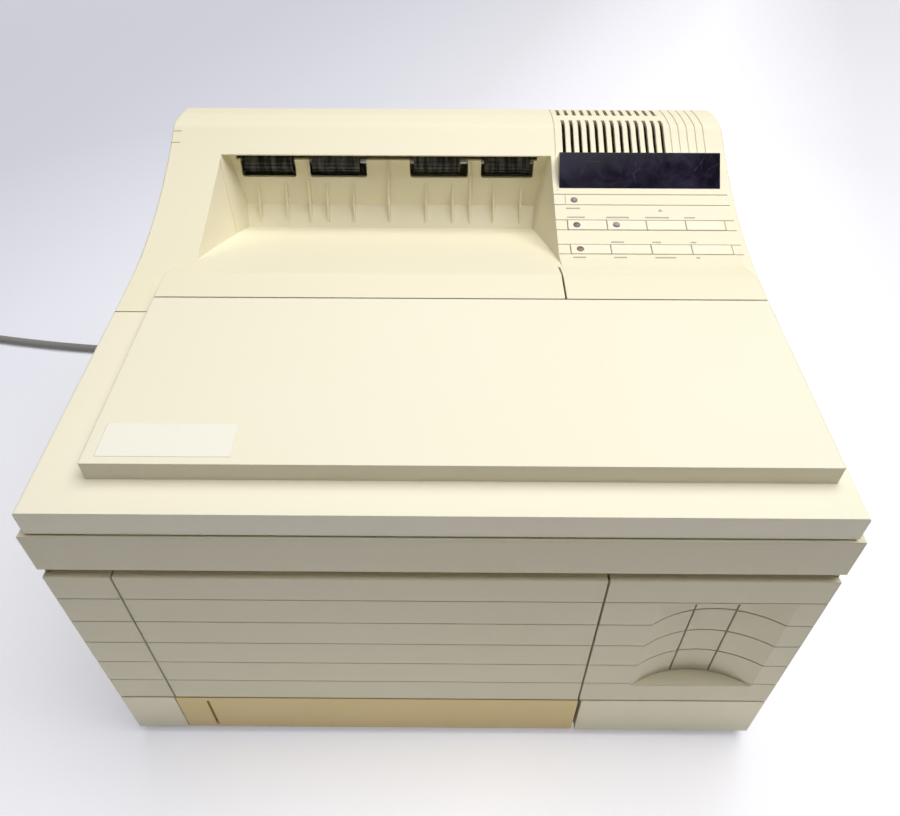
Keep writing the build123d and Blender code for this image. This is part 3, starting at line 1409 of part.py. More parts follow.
# Route of the lead from the connector round to the left, then its coil
floor_z = cord_radius + 0.05
coil_center = (-568.0, 190.0)
coil_pitch = 9.4
coil_radii = [54.9 - i * coil_pitch / 2 for i in range(5)]
layer_rise = cord_diameter + 0.6
coil_top_y = coil_center[1] + coil_radii[0]
route = [
    cord_start,
    (inlet_center[0], 284.0, inlet_center[1]),
    (141.0, 318.0, 21.0),
    (112.0, 336.0, floor_z),
    (68.0, 334.0, floor_z),
    (22.0, 301.0, floor_z),
    (-36.0, 270.0, floor_z),
    (-108.0, 241.0, floor_z),
    (-185.0, 224.0, floor_z),
    (-265.0, 217.0, floor_z),
    (-345.0, 217.0, floor_z),
    (-425.0, 224.5, floor_z),
    (-500.0, 236.5, floor_z),
    (-540.0, coil_top_y, floor_z),
    (coil_center[0] + cord_diameter, coil_top_y, floor_z),
]


def corner_radius(before, at, after):
    """Largest tangent radius that two runs of the route allow."""
    first = Vector(*at) - Vector(*before)
    second = Vector(*after) - Vector(*at)
    turn = radians(first.get_angle(second))
    return 0.45 * min(first.length, second.length) / tan(turn / 2)


radii = [corner_radius(*route[i - 1 : i + 2]) for i in range(1, len(route) - 1)]
print("lead radii", [round(r, 1) for r in radii])
cord_area = pi * cord_radius**2

with BuildPart() as power_cord:
    with BuildLine() as lead_path:
        FilletPolyline(*route, radius=radii)
    lead_wire = lead_path.wires()[0]
    with BuildSketch(Plane(origin=route[0], z_dir=lead_wire % 0)):
        Circle(cord_radius)
    sweep(path=lead_wire)
save(power_cord, "power_cord")
print("lead", lead_wire.length, power_cord.part.volume / cord_area, power_cord.part.is_valid)

# Coil: half turns inwards on the floor, one that climbs, then half turns outwards on top
tail_length = 24.0
turn_list = [(r, 0.0) for r in coil_radii[:4]] + [(coil_radii[4], layer_rise)]
turn_list += [(r, 0.0) for r in coil_radii[3:0:-1]]
with BuildPart() as cord_coil:
    with BuildLine() as coil_path:
        at = Vector(*route[-1])
        heading = -1
        Line(at, at + Vector(-cord_diameter, 0, 0))
        at = at + Vector(-cord_diameter, 0, 0)
        for r, climb in turn_list:
            reach = sqrt(r**2 + climb**2 / 4)
            side = at + Vector(heading * reach, heading * r, climb / 2)
            end = at + Vector(0, heading * 2 * r, climb)
            tangent = Vector(0, heading * r / reach, climb / (2 * reach))
            TangentArc(at, side, tangent=Vector(heading, 0, 0))
            TangentArc(side, end, tangent=tangent)
            at = end
            heading = -heading
        Line(at, at + Vector(heading * tail_length, 0, 0))
    coil_wire = coil_path.wires()[0]
    with BuildSketch(Plane(origin=route[-1], z_dir=(-1, 0, 0))):
        Circle(cord_radius)
    sweep(path=coil_wire)
save(cord_coil, "cord_coil")
samples = int(coil_wire.length / 2.5)
coil_points = [coil_wire.position_at(i / samples) for i in range(samples + 1)]
apart = int(4 * cord_diameter / 2.5)
least = min(
    (coil_points[i] - coil_points[j]).length
    for i in range(len(coil_points))
    for j in range(i + apart, len(coil_points))
)
print("coil", coil_wire.length, cord_coil.part.volume / cord_area, cord_coil.part.is_valid,
      "least gap", least - cord_diameter, "total", lead_wire.length + coil_wire.length)

plug_start = at + Vector(heading * tail_length, 0, 0)
plug_relief = 26.0
plug_body = (36.0, 28.0, 2 * (plug_start.Z - 0.05))
blade = (17.0, 1.5, 6.3)
with BuildPart() as power_plug:
    with Locations(Location((plug_start.X, plug_start.Y, plug_start.Z), (0, -90, 0))):
        Cone(cord_radius + 1.0, 8.0, plug_relief, align=(Align.CENTER, Align.CENTER, Align.MIN))
    body_x = plug_start.X - plug_relief - plug_body[0] / 2
    with Locations((body_x, plug_start.Y, plug_start.Z)):
        Box(*plug_body)
    fillet(power_plug.edges().filter_by(Axis.X).filter_by(GeomType.LINE), 6.0)
    blade_x = body_x - plug_body[0] / 2 - blade[0] / 2
    for side in (-1, 1):
        with Locations((blade_x, plug_start.Y + side * 6.35, plug_start.Z + 3.0)):
            Box(*blade)
    with Locations(Location((blade_x, plug_start.Y, plug_start.Z - 6.5), (0, 90, 0))):
        Cylinder(2.4, blade[0])
save(power_plug, "power_plug")
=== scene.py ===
"""Blender scene of the desktop laser printer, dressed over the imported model, in metres."""
import json
from math import asin, cos, pi, radians, sin, sqrt

import bmesh
import bpy
from mathutils import Matrix, Vector


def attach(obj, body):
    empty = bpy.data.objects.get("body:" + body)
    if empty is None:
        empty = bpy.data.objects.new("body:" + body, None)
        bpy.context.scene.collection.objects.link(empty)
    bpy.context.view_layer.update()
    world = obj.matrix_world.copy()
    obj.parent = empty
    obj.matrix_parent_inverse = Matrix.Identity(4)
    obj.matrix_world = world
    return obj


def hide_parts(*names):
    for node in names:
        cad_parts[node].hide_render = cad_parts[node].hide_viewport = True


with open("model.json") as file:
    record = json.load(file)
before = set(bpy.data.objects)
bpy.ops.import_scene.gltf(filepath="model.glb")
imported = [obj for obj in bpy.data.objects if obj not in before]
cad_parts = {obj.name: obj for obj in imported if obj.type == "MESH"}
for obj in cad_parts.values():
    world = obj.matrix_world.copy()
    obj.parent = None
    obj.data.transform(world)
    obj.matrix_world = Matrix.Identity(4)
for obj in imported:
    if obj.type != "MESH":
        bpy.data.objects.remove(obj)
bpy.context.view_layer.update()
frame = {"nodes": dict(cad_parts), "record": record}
nodes = frame["nodes"]

MM = 0.001
along_x = Vector((1.0, 0.0, 0.0))

# Camera of the photograph
image_width = 900
focal_px = 727.1
sensor_mm = 36.0
clip_start = 0.01
camera_place = Vector((5.3, -418.2, 509.6)) * MM
camera_yaw = radians(-0.274)
camera_pitch = radians(42.79)
camera_roll = radians(0.16)

# Area lights: name, place, target, size, watts, whether gloss mirrors it
lights = (
    ("sky_panel", (0.42, 0.12, 1.9), (0.1, 0.0, 0.1), (1.8, 1.8), 43.0, True),
    ("left_panel", (-1.6, -0.5, 1.2), (0.0, 0.0, 0.1), (1.2, 1.2), 0.3, False),
    ("floor_bounce", (-0.03, -0.30, 0.004), (-0.03, -0.30, 1.0), (0.8, 0.10), 0.16, False),
)

# World: its light, and how bright a camera ray sees it
world_tint = (0.93, 0.94, 1.0, 1.0)
world_level = 0.075
world_seen_level = 0.9


def add_camera():
    level_run = cos(camera_pitch)
    forward = Vector((sin(camera_yaw) * level_run, cos(camera_yaw) * level_run, -sin(camera_pitch)))
    right = Vector((cos(camera_yaw), -sin(camera_yaw), 0.0))
    up = right.cross(forward)
    turned_right = cos(camera_roll) * right + sin(camera_roll) * up
    turned_up = cos(camera_roll) * up - sin(camera_roll) * right
    data = bpy.data.cameras.new("view_camera")
    data.sensor_fit = "HORIZONTAL"
    data.sensor_width = sensor_mm
    data.lens = focal_px / image_width * sensor_mm
    data.clip_start = clip_start
    camera = bpy.data.objects.new("view_camera", data)
    turn = Matrix((turned_right, turned_up, -forward)).transposed()
    camera.matrix_world = Matrix.Translation(camera_place) @ turn.to_4x4()
    bpy.context.scene.collection.objects.link(camera)
    bpy.context.scene.camera = camera


def add_area_light(name, place, target, size, power, mirrored):
    data = bpy.data.lights.new(name, "AREA")
    data.shape = "RECTANGLE"
    data.size, data.size_y = size
    data.energy = power
    light = bpy.data.objects.new(name, data)
    light.location = place
    light.rotation_euler = (Vector(target) - Vector(place)).to_track_quat("-Z", "Y").to_euler()
    light.visible_camera = False
    light.visible_glossy = mirrored
    bpy.context.scene.collection.objects.link(light)


# Materials
black = (0.0, 0.0, 0.0)
white = (1.0, 1.0, 1.0)
bevel_samples = 4
# Painted highlight on edges and creases: its radius, lightening, share and the point where it is
# full
highlight_radius = 0.0006
round_radius = 0.0007
highlight_gain = 1.10
highlight_share = 0.5
highlight_full_at = 0.75
scuff_share = 0.35
scuff_tint = (0.90, 0.89, 0.87)
plastic_specular = 0.35
rubber_roughness = 0.75
rubber_specular = 0.3
smear_roughness = 0.125
smear_gain = 3.5
warp_reach = (0.05, 0.05, 0.05)


def new_material(name):
    material = bpy.data.materials.new(name)
    material.use_nodes = True
    tree = material.node_tree
    return material, tree, tree.nodes["Principled BSDF"]


def link(tree, source, target):
    tree.links.new(source, target)


def add_node(tree, kind, operation=None, **inputs):
    """Node with an operation, where it has one, and plain values for its inputs."""
    node = tree.nodes.new(kind)
    if operation:
        node.operation = operation
    for name, value in inputs.items():
        node.inputs[name.replace("_", " ")].default_value = value
    return node


def object_place(tree):
    return tree.nodes.new("ShaderNodeTexCoord").outputs["Object"]


def texture(tree, kind, place, **inputs):
    """Noise or Voronoi texture at a place."""
    node = add_node(tree, kind, **inputs)
    link(tree, place, node.inputs["Vector"])
    return node


def noise(tree, place, **inputs):
    return texture(tree, "ShaderNodeTexNoise", place, **inputs).outputs["Fac"]


def stretched(tree, place, scale):
    mapping = add_node(tree, "ShaderNodeMapping", Scale=scale)
    link(tree, place, mapping.inputs["Vector"])
    return mapping.outputs["Vector"]


def ramp(tree, source, stops):
    """Colour from a ramp over a 0 to 1 value; stops are (place, colour)."""
    node = tree.nodes.new("ShaderNodeValToRGB")
    elements = node.color_ramp.elements
    while len(elements) < len(stops):
        elements.new(0.5)
    for element, (place, colour) in zip(elements, stops):
        element.position = place
        element.color = (*colour, 1.0)
    link(tree, source, node.inputs["Fac"])
    return node.outputs["Color"]


def roughness_ramp(tree, source, low, high):
    """Roughness from a ramp; low and high are (place, roughness)."""
    return ramp(tree, source, [(place, (value,) * 3) for place, value in (low, high)])


def linear(red, green, blue):
    """Linear colour from 0 to 255 display values."""
    values = []
    for value in (red, green, blue):
        value = value / 255
        values.append(value / 12.92 if value <= 0.04045 else ((value + 0.055) / 1.055) ** 2.4)
    return tuple(values)


def shade(colour, factor):
    return tuple(min(1.0, channel * factor) for channel in colour)


def mix_colours(tree, blend, factor, first, second):
    """Colour mix; the factor is a number or an output, the second input an output or a colour."""
    mix = tree.nodes.new("ShaderNodeMix")
    mix.data_type = "RGBA"
    mix.blend_type = blend
    if isinstance(factor, float):
        mix.inputs["Factor"].default_value = factor
    else:
        link(tree, factor, mix.inputs["Factor"])
    link(tree, first, mix.inputs["A"])
    if isinstance(second, tuple):
        mix.inputs["B"].default_value = (*second, 1.0)
    else:
        link(tree, second, mix.inputs["B"])
    return mix.outputs["Result"]


def round_normal(tree, radius):
    node = add_node(tree, "ShaderNodeBevel", Radius=radius)
    node.samples = bevel_samples
    return node.outputs["Normal"]


def edge_highlight(tree):
    """Share of painted highlight: high where a rounded normal leaves the true one, at an edge or a
    crease.
    """
    true_normal = tree.nodes.new("ShaderNodeNewGeometry").outputs["Normal"]
    meet = add_node(tree, "ShaderNodeVectorMath", "DOT_PRODUCT")
    link(tree, round_normal(tree, highlight_radius), meet.inputs[0])
    link(tree, true_normal, meet.inputs[1])
    spread = add_node(tree, "ShaderNodeMapRange", From_Min=1.0, From_Max=highlight_full_at,
                      To_Max=highlight_share)
    link(tree, meet.outputs["Value"], spread.inputs["Value"])
    return spread.outputs["Result"]


def add_bump(tree, shader, height, strength, distance=0.0002):
    bump = add_node(tree, "ShaderNodeBump", Strength=strength, Distance=distance)
    link(tree, height, bump.inputs["Height"])
    link(tree, bump.outputs["Normal"], shader.inputs["Normal"])
    return bump


def plastic(name, colour, aged, roughness=0.5, grain=0.10, patch_scale=5.0, coat=0.0):
    """Moulded plastic: spark-eroded grain, slow ageing, faint scuffs, and edges and creases
    lightened as a painted highlight.
    """
    material, tree, shader = new_material(name)
    place = object_place(tree)
    patches = noise(tree, place, Scale=patch_scale, Detail=2.0, Roughness=0.45)
    tone = ramp(tree, patches, [(0.25, colour), (0.80, aged)])
    scuffs = noise(tree, place, Scale=160.0, Detail=6.0, Roughness=0.75, Distortion=0.6)
    marks = ramp(tree, scuffs, [(0.30, scuff_tint), (0.38, white)])
    dirty = mix_colours(tree, "MULTIPLY", scuff_share, tone, marks)
    # Painted highlight: edges and creases take a lighter copy of the colour
    highlighted = mix_colours(tree, "MIX", edge_highlight(tree), dirty, shade(colour, highlight_gain))
    link(tree, highlighted, shader.inputs["Base Color"])
    level = roughness_ramp(tree, scuffs, (0.3, roughness - 0.05), (0.7, roughness + 0.06))
    link(tree, level, shader.inputs["Roughness"])
    spark = noise(tree, place, Scale=1500.0, Detail=2.0, Roughness=0.6)
    bump = add_bump(tree, shader, spark, grain)
    link(tree, round_normal(tree, round_radius), bump.inputs["Normal"])
    shader.inputs["Specular IOR Level"].default_value = plastic_specular
    shader.inputs["Coat Weight"].default_value = coat
    return material


def metal(name, colour, roughness=0.35, stretch=white):
    """Plated or rolled steel with faint streaks."""
    material, tree, shader = new_material(name)
    streaks = noise(tree, stretched(tree, object_place(tree), stretch), Scale=400.0, Detail=4.0)
    tone = ramp(tree, streaks, [(0.3, shade(colour, 0.85)), (0.7, colour)])
    link(tree, tone, shader.inputs["Base Color"])
    level = roughness_ramp(tree, streaks, (0.3, roughness - 0.07), (0.7, roughness + 0.1))
    link(tree, level, shader.inputs["Roughness"])
    add_bump(tree, shader, streaks, 0.08, 0.0001)
    shader.inputs["Metallic"].default_value = 1.0
    return material


def rubber(name, colour, grain=0.35, scale=900.0, stretch=white, dusty=1.5):
    """Matte rubber with a dusty, pebbled surface; stretch draws the dust out into ribs."""
    material, tree, shader = new_material(name)
    place = object_place(tree)
    dust = noise(tree, stretched(tree, place, stretch), Scale=60.0, Detail=5.0)
    tone = ramp(tree, dust, [(0.40, colour), (0.66, shade(colour, dusty))])
    link(tree, tone, shader.inputs["Base Color"])
    pebble = texture(tree, "ShaderNodeTexVoronoi", place, Scale=scale)
    add_bump(tree, shader, pebble.outputs["Distance"], grain)
    shader.inputs["Roughness"].default_value = rubber_roughness
    shader.inputs["Specular IOR Level"].default_value = rubber_specular
    return material


def gloss(name, colour, roughness=0.08, specular=0.5, scratch_tone=0.0):
    """Glossy window or coating with fine scratches and fingerprints."""
    material, tree, shader = new_material(name)
    place = object_place(tree)
    smear = noise(tree, place, Scale=45.0, Detail=6.0, Roughness=0.65, Distortion=1.2)
    level = roughness_ramp(tree, smear, (0.40, roughness), (0.75, roughness + smear_roughness))
    link(tree, level, shader.inputs["Roughness"])
    tone = ramp(tree, smear, [(0.42, colour), (0.75, shade(colour, smear_gain))])
    warp = texture(tree, "ShaderNodeTexNoise", place, Scale=14.0, Detail=2.0)
    bent = add_node(tree, "ShaderNodeVectorMath", "MULTIPLY_ADD")
    bent.inputs[1].default_value = warp_reach
    link(tree, warp.outputs["Color"], bent.inputs[0])
    link(tree, place, bent.inputs[2])
    cells = texture(tree, "ShaderNodeTexVoronoi", bent.outputs["Vector"], Scale=48.0)
    cells.feature = "DISTANCE_TO_EDGE"
    lines = ramp(tree, cells.outputs["Distance"], [(0.0, white), (0.012, black)])
    broken = noise(tree, place, Scale=70.0, Detail=3.0)
    gate = ramp(tree, broken, [(0.54, black), (0.64, white)])
    scratches = mix_colours(tree, "MULTIPLY", 1.0, lines, gate)
    marked = mix_colours(tree, "ADD", scratch_tone, tone, scratches)
    link(tree, marked, shader.inputs["Base Color"])
    shader.inputs["Specular IOR Level"].default_value = specular
    return material


# Material for each slot of the record
materials = {
    "ivory": plastic("ivory_plastic", linear(240, 233, 206), linear(238, 230, 201)),
    "lid_ivory": plastic("lid_plastic", linear(241, 235, 212), linear(239, 232, 207)),
    # Front ivory: a darker copy of the ivory, painted shade for faces that turn away from the
    # overhead light
    "front_ivory": plastic("shaded_front_plastic", linear(224, 217, 191), linear(221, 213, 185)),
    "tan": plastic("tan_plastic", linear(232, 208, 150), linear(227, 202, 143), roughness=0.45,
                   patch_scale=14.0),
    "key_ivory": plastic("key_plastic", linear(242, 236, 214), linear(238, 231, 204),
                         roughness=0.42, grain=0.05),
    "black_gloss": gloss("display_gloss", linear(22, 19, 32), specular=0.10, scratch_tone=0.05),
    "rubber_black": rubber("black_rubber", linear(34, 33, 32)),
    "dark_plastic": plastic("dark_plastic", linear(46, 45, 46), linear(52, 50, 50), grain=0.2),
    "blue_grey_plastic": plastic("grey_plastic", linear(98, 102, 108), linear(90, 94, 100)),
    "steel": metal("plated_steel", linear(186, 187, 190), stretch=(1.0, 12.0, 1.0)),
    "board_green": plastic("circuit_board", linear(44, 102, 66), linear(38, 92, 58),
                           roughness=0.35, coat=0.3),
    "drum_green": gloss("drum_coating", linear(58, 122, 132), roughness=0.15),
    "white_gear": plastic("acetal", linear(228, 226, 218), linear(220, 217, 206), roughness=0.4,
                          grain=0.04),
    "fuser_red": gloss("fuser_coating", linear(104, 46, 40), roughness=0.2),
    "sponge": rubber("foam_rubber", linear(56, 56, 58), grain=0.8, scale=500.0),
    "pink_marker": plastic("marker_plastic", linear(204, 136, 130), linear(196, 128, 120)),
    "lead_grey": plastic("lead_sheath", linear(150, 149, 144), linear(138, 137, 132),
                         roughness=0.38, grain=0.15),
    "mirror": metal("mirror_metal", linear(216, 218, 220), roughness=0.12),
}
print_tone = linear(182, 174, 152)
dusty_rubber = rubber("dusty_rubber", linear(30, 30, 31), stretch=(9.0, 1.0, 1.0), dusty=9.0)
print_grey = plastic("printed_grey", print_tone, shade(print_tone, 0.95), grain=0.02)
lens_grey = gloss("lens_smoke", linear(92, 87, 88), roughness=0.22)
lens_amber = gloss("lens_brown", linear(122, 100, 90), roughness=0.22)
label_white = plastic("label_white", linear(243, 240, 225), linear(240, 236, 219), roughness=0.6,
                      grain=0.02)

# Nodes whose material isn't that of their slot; the main cover takes the darker front ivory,
# painted shade for its front
own_materials = {"exit_rollers": dusty_rubber, "main_cover": materials["front_ivory"]}


def dress_nodes():
    slots = {entry["node"]: entry["material_slot"] for entry in frame["record"]["subparts"]}
    for name, node in nodes.items():
        node.data.materials.clear()
        node.data.materials.append(own_materials.get(name, materials[slots[name]]))


# Floor: painted light and shade in its colour run along a direction, darker towards the left and
# back and lightest in front of the printer; its glow grows with the distance from the printer
floor_half = 6.0
floor_roughness = 0.9
floor_specular = 0.1
painted_light_direction = (1.0, -0.35, 0.0)
floor_span = (-1.0, 0.55)
floor_painted_tones = (
    (0.0, (212, 213, 222)),
    (0.18, (216, 217, 226)),
    (0.44, (226, 226, 231)),
    (0.56, (239, 239, 245)),
    (0.72, (251, 250, 253)),
    (0.92, (229, 228, 233)),
)
near_glow, near_distance = 0.30, 1.0
far_glow, far_distance = 0.92, 3.0


def painted_floor_tone(tree, place):
    split = add_node(tree, "ShaderNodeVectorMath", "DOT_PRODUCT")
    split.inputs[1].default_value = painted_light_direction
    link(tree, place, split.inputs[0])
    across = add_node(tree, "ShaderNodeMapRange", From_Min=floor_span[0], From_Max=floor_span[1])
    link(tree, split.outputs["Value"], across.inputs["Value"])
    # Painted light and shade: the floor's colour steps from darker at the left and back to lightest
    # in front
    stops = [(at, linear(*tone)) for at, tone in floor_painted_tones]
    return ramp(tree, across.outputs["Result"], stops)


def floor_glow(tree, place):
    """Strength of the glow, for camera, glossy and transmission rays only."""
    rays = tree.nodes.new("ShaderNodeLightPath")
    seen = rays.outputs["Is Camera Ray"]
    for kind in ("Is Glossy Ray", "Is Transmission Ray"):
        either = add_node(tree, "ShaderNodeMath", "MAXIMUM")
        link(tree, seen, either.inputs[0])
        link(tree, rays.outputs[kind], either.inputs[1])
        seen = either.outputs[0]
    away = add_node(tree, "ShaderNodeVectorMath", "LENGTH")
    link(tree, place, away.inputs[0])
    level = add_node(tree, "ShaderNodeMapRange", From_Min=near_distance, From_Max=far_distance,
                     To_Min=near_glow, To_Max=far_glow)
    link(tree, away.outputs["Value"], level.inputs["Value"])
    glow = add_node(tree, "ShaderNodeMath", "MULTIPLY")
    link(tree, seen, glow.inputs[0])
    link(tree, level.outputs["Result"], glow.inputs[1])
    return glow.outputs[0]


def add_stage():
    """Pale floor with painted light and shade in its colour, over the printer's real shadow; a
    camera ray sees it a little lighter.
    """
    data = bpy.data.meshes.new("floor")
    shape = bmesh.new()
    bmesh.ops.create_grid(shape, x_segments=2, y_segments=2, size=floor_half)
    shape.to_mesh(data)
    shape.free()
    floor = bpy.data.objects.new("floor", data)
    bpy.context.scene.collection.objects.link(floor)
    material, tree, shader = new_material("pale_floor_with_painted_light")
    place = object_place(tree)
    tone = painted_floor_tone(tree, place)
    link(tree, tone, shader.inputs["Base Color"])
    link(tree, tone, shader.inputs["Emission Color"])
    link(tree, floor_glow(tree, place), shader.inputs["Emission Strength"])
    shader.inputs["Roughness"].default_value = floor_roughness
    shader.inputs["Specular IOR Level"].default_value = floor_specular
    data.materials.append(material)


def add_world():
    world = bpy.data.worlds.new("studio")
    world.use_nodes = True
    tree = world.node_tree
    background = tree.nodes["Background"]
    background.inputs["Color"].default_value = world_tint
    rays = tree.nodes.new("ShaderNodeLightPath")
    level = add_node(tree, "ShaderNodeMapRange", To_Min=world_level, To_Max=world_seen_level)
    link(tree, rays.outputs["Is Camera Ray"], level.inputs["Value"])
    link(tree, level.outputs["Result"], background.inputs["Strength"])
    bpy.context.scene.world = world


# Mains lead, in millimetres: the route of the solid, then the coil's half turns
cord_radius = 4.25 * MM
floor_z = 4.3
coil_center = (-568.0, 190.0)
coil_outer = 54.9
coil_pitch = 9.4
coil_radii = [coil_outer - i * coil_pitch / 2 for i in range(5)]
layer_rise = 9.1
coil_top_y = coil_center[1] + coil_radii[0]
lead_exit = (151.0, 249.5, 41.0)
lead_route = [
    lead_exit,
    (151.0, 284.0, 41.0),
    (141.0, 318.0, 21.0),
    (112.0, 336.0, floor_z),
    (68.0, 334.0, floor_z),
    (22.0, 301.0, floor_z),
    (-36.0, 270.0, floor_z),
    (-108.0, 241.0, floor_z),
    (-185.0, 224.0, floor_z),
    (-265.0, 217.0, floor_z),
    (-345.0, 217.0, floor_z),
    (-425.0, 224.5, floor_z),
    (-500.0, 236.5, floor_z),
    (-540.0, coil_top_y, floor_z),
]
turn_points = 8
turn_reach = 0.98
tail_length = 24.0


def coil_points():
    """Control points of the coil: half turns inwards, one that climbs, then outwards on top."""
    turns = [(r, 0.0) for r in coil_radii[:4]] + [(coil_radii[4], layer_rise)]
    turns += [(r, 0.0) for r in coil_radii[3:0:-1]]
    step = pi / turn_points
    points = []
    at = Vector((coil_center[0], coil_top_y, floor_z))
    heading = -1
    for r, climb in turns:
        middle = at + Vector((0, heading * r, 0))
        outer = r / cos(step / 2) ** turn_reach
        for k in range(turn_points):
            angle = (k + 0.5) * step
            points.append(Vector((
                middle.x + heading * outer * sin(angle),
                middle.y - heading * outer * cos(angle),
                at.z + climb * (k + 0.5) / turn_points,
            )))
        at = at + Vector((0, heading * 2 * r, climb))
        heading = -heading
    points.append(at + Vector((heading * tail_length, 0, 0)))
    return points


def add_lead():
    """Mains lead with its coil, one smooth tube in place of the two faceted nodes."""
    points = [Vector(p) for p in lead_route] + coil_points()
    curve = bpy.data.curves.new("mains_lead", "CURVE")
    curve.dimensions = "3D"
    curve.resolution_u = 8
    curve.bevel_depth = cord_radius
    curve.bevel_resolution = 5
    curve.use_fill_caps = True
    spline = curve.splines.new("NURBS")
    spline.points.add(len(points) - 1)
    for point, target in zip(spline.points, points):
        point.co = (*(target * MM), 1.0)
    spline.order_u = 3
    spline.use_endpoint_u = True
    curve.materials.append(materials["lead_grey"])
    lead = bpy.data.objects.new("mains_lead", curve)
    bpy.context.scene.collection.objects.link(lead)
    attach(lead, "casing")
    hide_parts("power_cord", "cord_coil")


def surface_frame(place, run):
    """Frame at a place in millimetres: X, the direction up the slope and their normal."""
    turn = Matrix((along_x, run, along_x.cross(run))).transposed().to_4x4()
    return Matrix.Translation(place * MM) @ turn


# Swoop of the upper housing: (y, z) centre and radius, in millimetres
swoop_center = (-54.3286, 597.4863)
swoop_radius = 348.4018


def on_swoop(x, y, height):
    """Frame on the swoop, raised along its normal by a height."""
    angle = asin((y - swoop_center[0]) / swoop_radius)
    z = swoop_center[1] - sqrt(swoop_radius**2 - (y - swoop_center[0]) ** 2)
    run = Vector((0.0, cos(angle), sin(angle)))
    return surface_frame(Vector((x, y, z)) + along_x.cross(run) * height, run)


def add_piece(name, shape, material, body, smooth=True):
    """Object from a bmesh that rides on a body."""
    data = bpy.data.meshes.new(name)
    shape.to_mesh(data)
    shape.free()
    for polygon in data.polygons:
        polygon.use_smooth = smooth
    data.materials.append(material)
    piece = bpy.data.objects.new(name, data)
    bpy.context.scene.collection.objects.link(piece)
    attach(piece, body)


def add_skin(shape, frame_at, outlines):
    """Closed skin over outlines of (x, y, height) points, from the lowest outline up."""
    rings = [[shape.verts.new(frame_at @ Vector(point)) for point in outline]
             for outline in outlines]
    count = len(rings[0])
    for low, high in zip(rings, rings[1:]):
        for k in range(count):
            shape.faces.new((low[k], low[(k + 1) % count], high[(k + 1) % count], high[k]))
    shape.faces.new(rings[-1])
    shape.faces.new(list(reversed(rings[0])))


dome_segments = 32


def add_dome(shape, frame_at, profile):
    """Profile of (radius, height) pairs in millimetres, turned about a frame's normal."""
    turns = [2 * pi * k / dome_segments for k in range(dome_segments)]
    add_skin(shape, frame_at, [
        [(radius * MM * cos(turn), radius * MM * sin(turn), height * MM) for turn in turns]
        for radius, height in profile
    ])


corner_steps = 4
least_corner = 0.02 * MM


def rounded_outline(size, radius, inset, height):
    half_x, half_y = size[0] / 2 - inset, size[1] / 2 - inset
    corner = max(radius - inset, least_corner)
    outline = []
    for quarter, (sx, sy) in enumerate(((1, 1), (-1, 1), (-1, -1), (1, -1))):
        for k in range(corner_steps + 1):
            turn = pi / 2 * (quarter + k / corner_steps)
            outline.append((
                sx * (half_x - corner) + corner * cos(turn),
                sy * (half_y - corner) + corner * sin(turn),
                height,
            ))
    return outline


def add_plate(shape, frame_at, size, radius, thickness, edge):
    """Flat plate with rounded corners and a rounded upper edge, on a frame."""
    levels = (
        (0.0, -thickness),
        (0.0, thickness - edge),
        (edge * 0.3, thickness - edge * 0.3),
        (edge, thickness),
    )
    add_skin(shape, frame_at, [rounded_outline(size, radius, *level) for level in levels])


# Status lamps: places on the swoop, in millimetres
key_proud = 0.35
lens_profile = ((2.5, -0.3), (2.5, 0.12), (2.3, 0.34), (1.7, 0.52), (0.8, 0.62))
lens_places = (
    ("power_lens", 90.4, 59.9, 0.0, "casing", lens_grey),
    ("key_1_lens", 90.4, 36.9, key_proud, "key_1", lens_grey),
    ("key_2_lens", 117.7, 37.1, key_proud, "key_2", lens_grey),
    ("key_5_lens", 90.7, 14.0, key_proud, "key_5", lens_amber),
)


def add_lenses():
    """Status lamps' lenses: low domes on the casing and on three keys."""
    for name, x, y, height, body, material in lens_places:
        shape = bmesh.new()
        add_dome(shape, on_swoop(x, y, height), lens_profile)
        add_piece(name, shape, material, body)


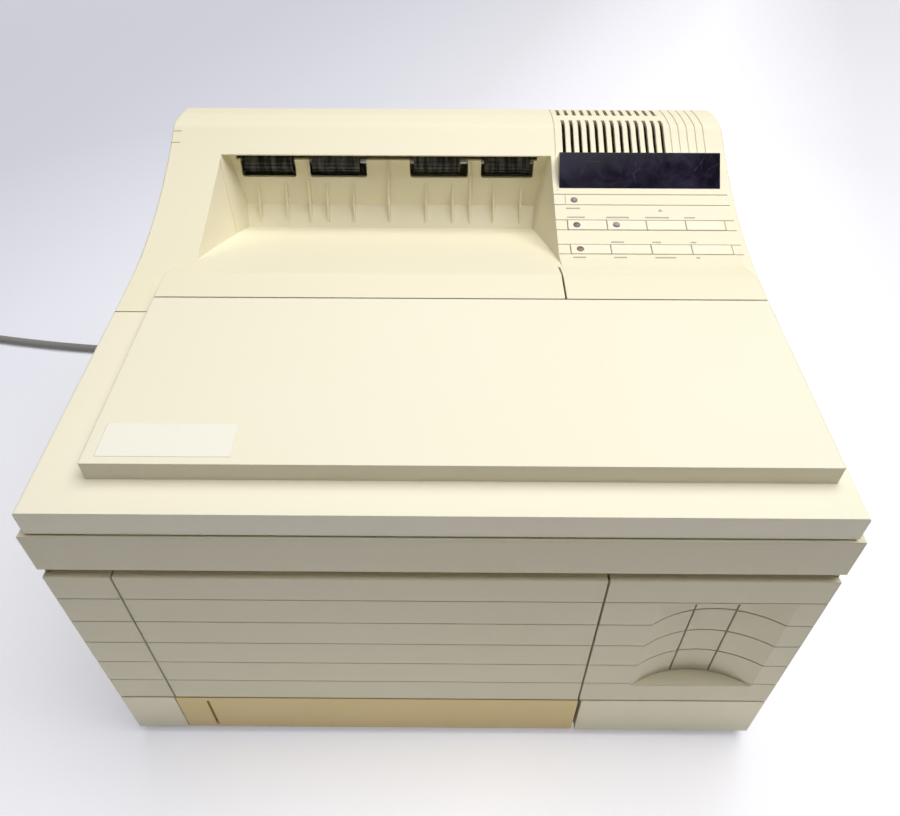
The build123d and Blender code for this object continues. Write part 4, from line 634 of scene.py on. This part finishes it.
# Printed bars: y on the swoop, rise above it, then the x spans, in millimetres. The lowest row
# lies on the foot of the plateau.
dash_height = 1.2
dash_corner = 0.5
dash_edge = 0.02
dash_rows = (
    (52.3, 0.0, ((84.1, 94.0),)),
    (44.2, 0.0, ((84.2, 96.7), (111.3, 127.4), (138.5, 155.2), (165.7, 173.3))),
    (21.0, 0.0, ((112.2, 121.0), (140.0, 146.1), (166.0, 170.0))),
    (5.6, 0.45, ((84.9, 93.6), (112.2, 120.9), (139.5, 153.5), (166.8, 169.5))),
)
arrow_place = (149.9, 50.9)
arrow_outline = ((-1.6, -1.2), (1.6, -1.2), (0.0, 1.5))
print_rise = 0.06


def add_prints():
    """Plain printed bars beside the keys, with no lettering, and one triangle."""
    shape = bmesh.new()
    for y, rise, spans in dash_rows:
        for low, high in spans:
            add_plate(shape, on_swoop((low + high) / 2, y, rise),
                      ((high - low) * MM, dash_height * MM), dash_corner * MM, print_rise * MM,
                      dash_edge * MM)
    add_skin(shape, on_swoop(*arrow_place, 0.0), [
        [(x * MM, y * MM, height * MM) for x, y in arrow_outline]
        for height in (-print_rise, print_rise)
    ])
    add_piece("panel_prints", shape, print_grey, "casing", smooth=False)


# Bare patch on the lid's slab, in millimetres
patch_x = (-170.0, -103.0)
patch_y = (-175.0, -153.0)
patch_corner = 1.0
patch_rise = 0.12
patch_edge = 0.05
slab_front = (-200.5, 249.0)
slab_rise = 0.07


def add_patch():
    """Bare paler patch on the lid's slab, where a badge would be."""
    middle = Vector((sum(patch_x) / 2, sum(patch_y) / 2, 0.0))
    middle.z = slab_front[1] + slab_rise * (middle.y - slab_front[0])
    run = Vector((0.0, 1.0, slab_rise)).normalized()
    size = ((patch_x[1] - patch_x[0]) * MM, (patch_y[1] - patch_y[0]) * MM)
    shape = bmesh.new()
    add_plate(shape, surface_frame(middle, run), size, patch_corner * MM, patch_rise * MM,
              patch_edge * MM)
    add_piece("blank_badge", shape, label_white, "lid", smooth=False)


add_camera()
for light in lights:
    add_area_light(*light)
add_world()
add_stage()
dress_nodes()
add_lead()
add_lenses()
add_prints()
add_patch()

bpy.context.scene.view_settings.view_transform = "Standard"
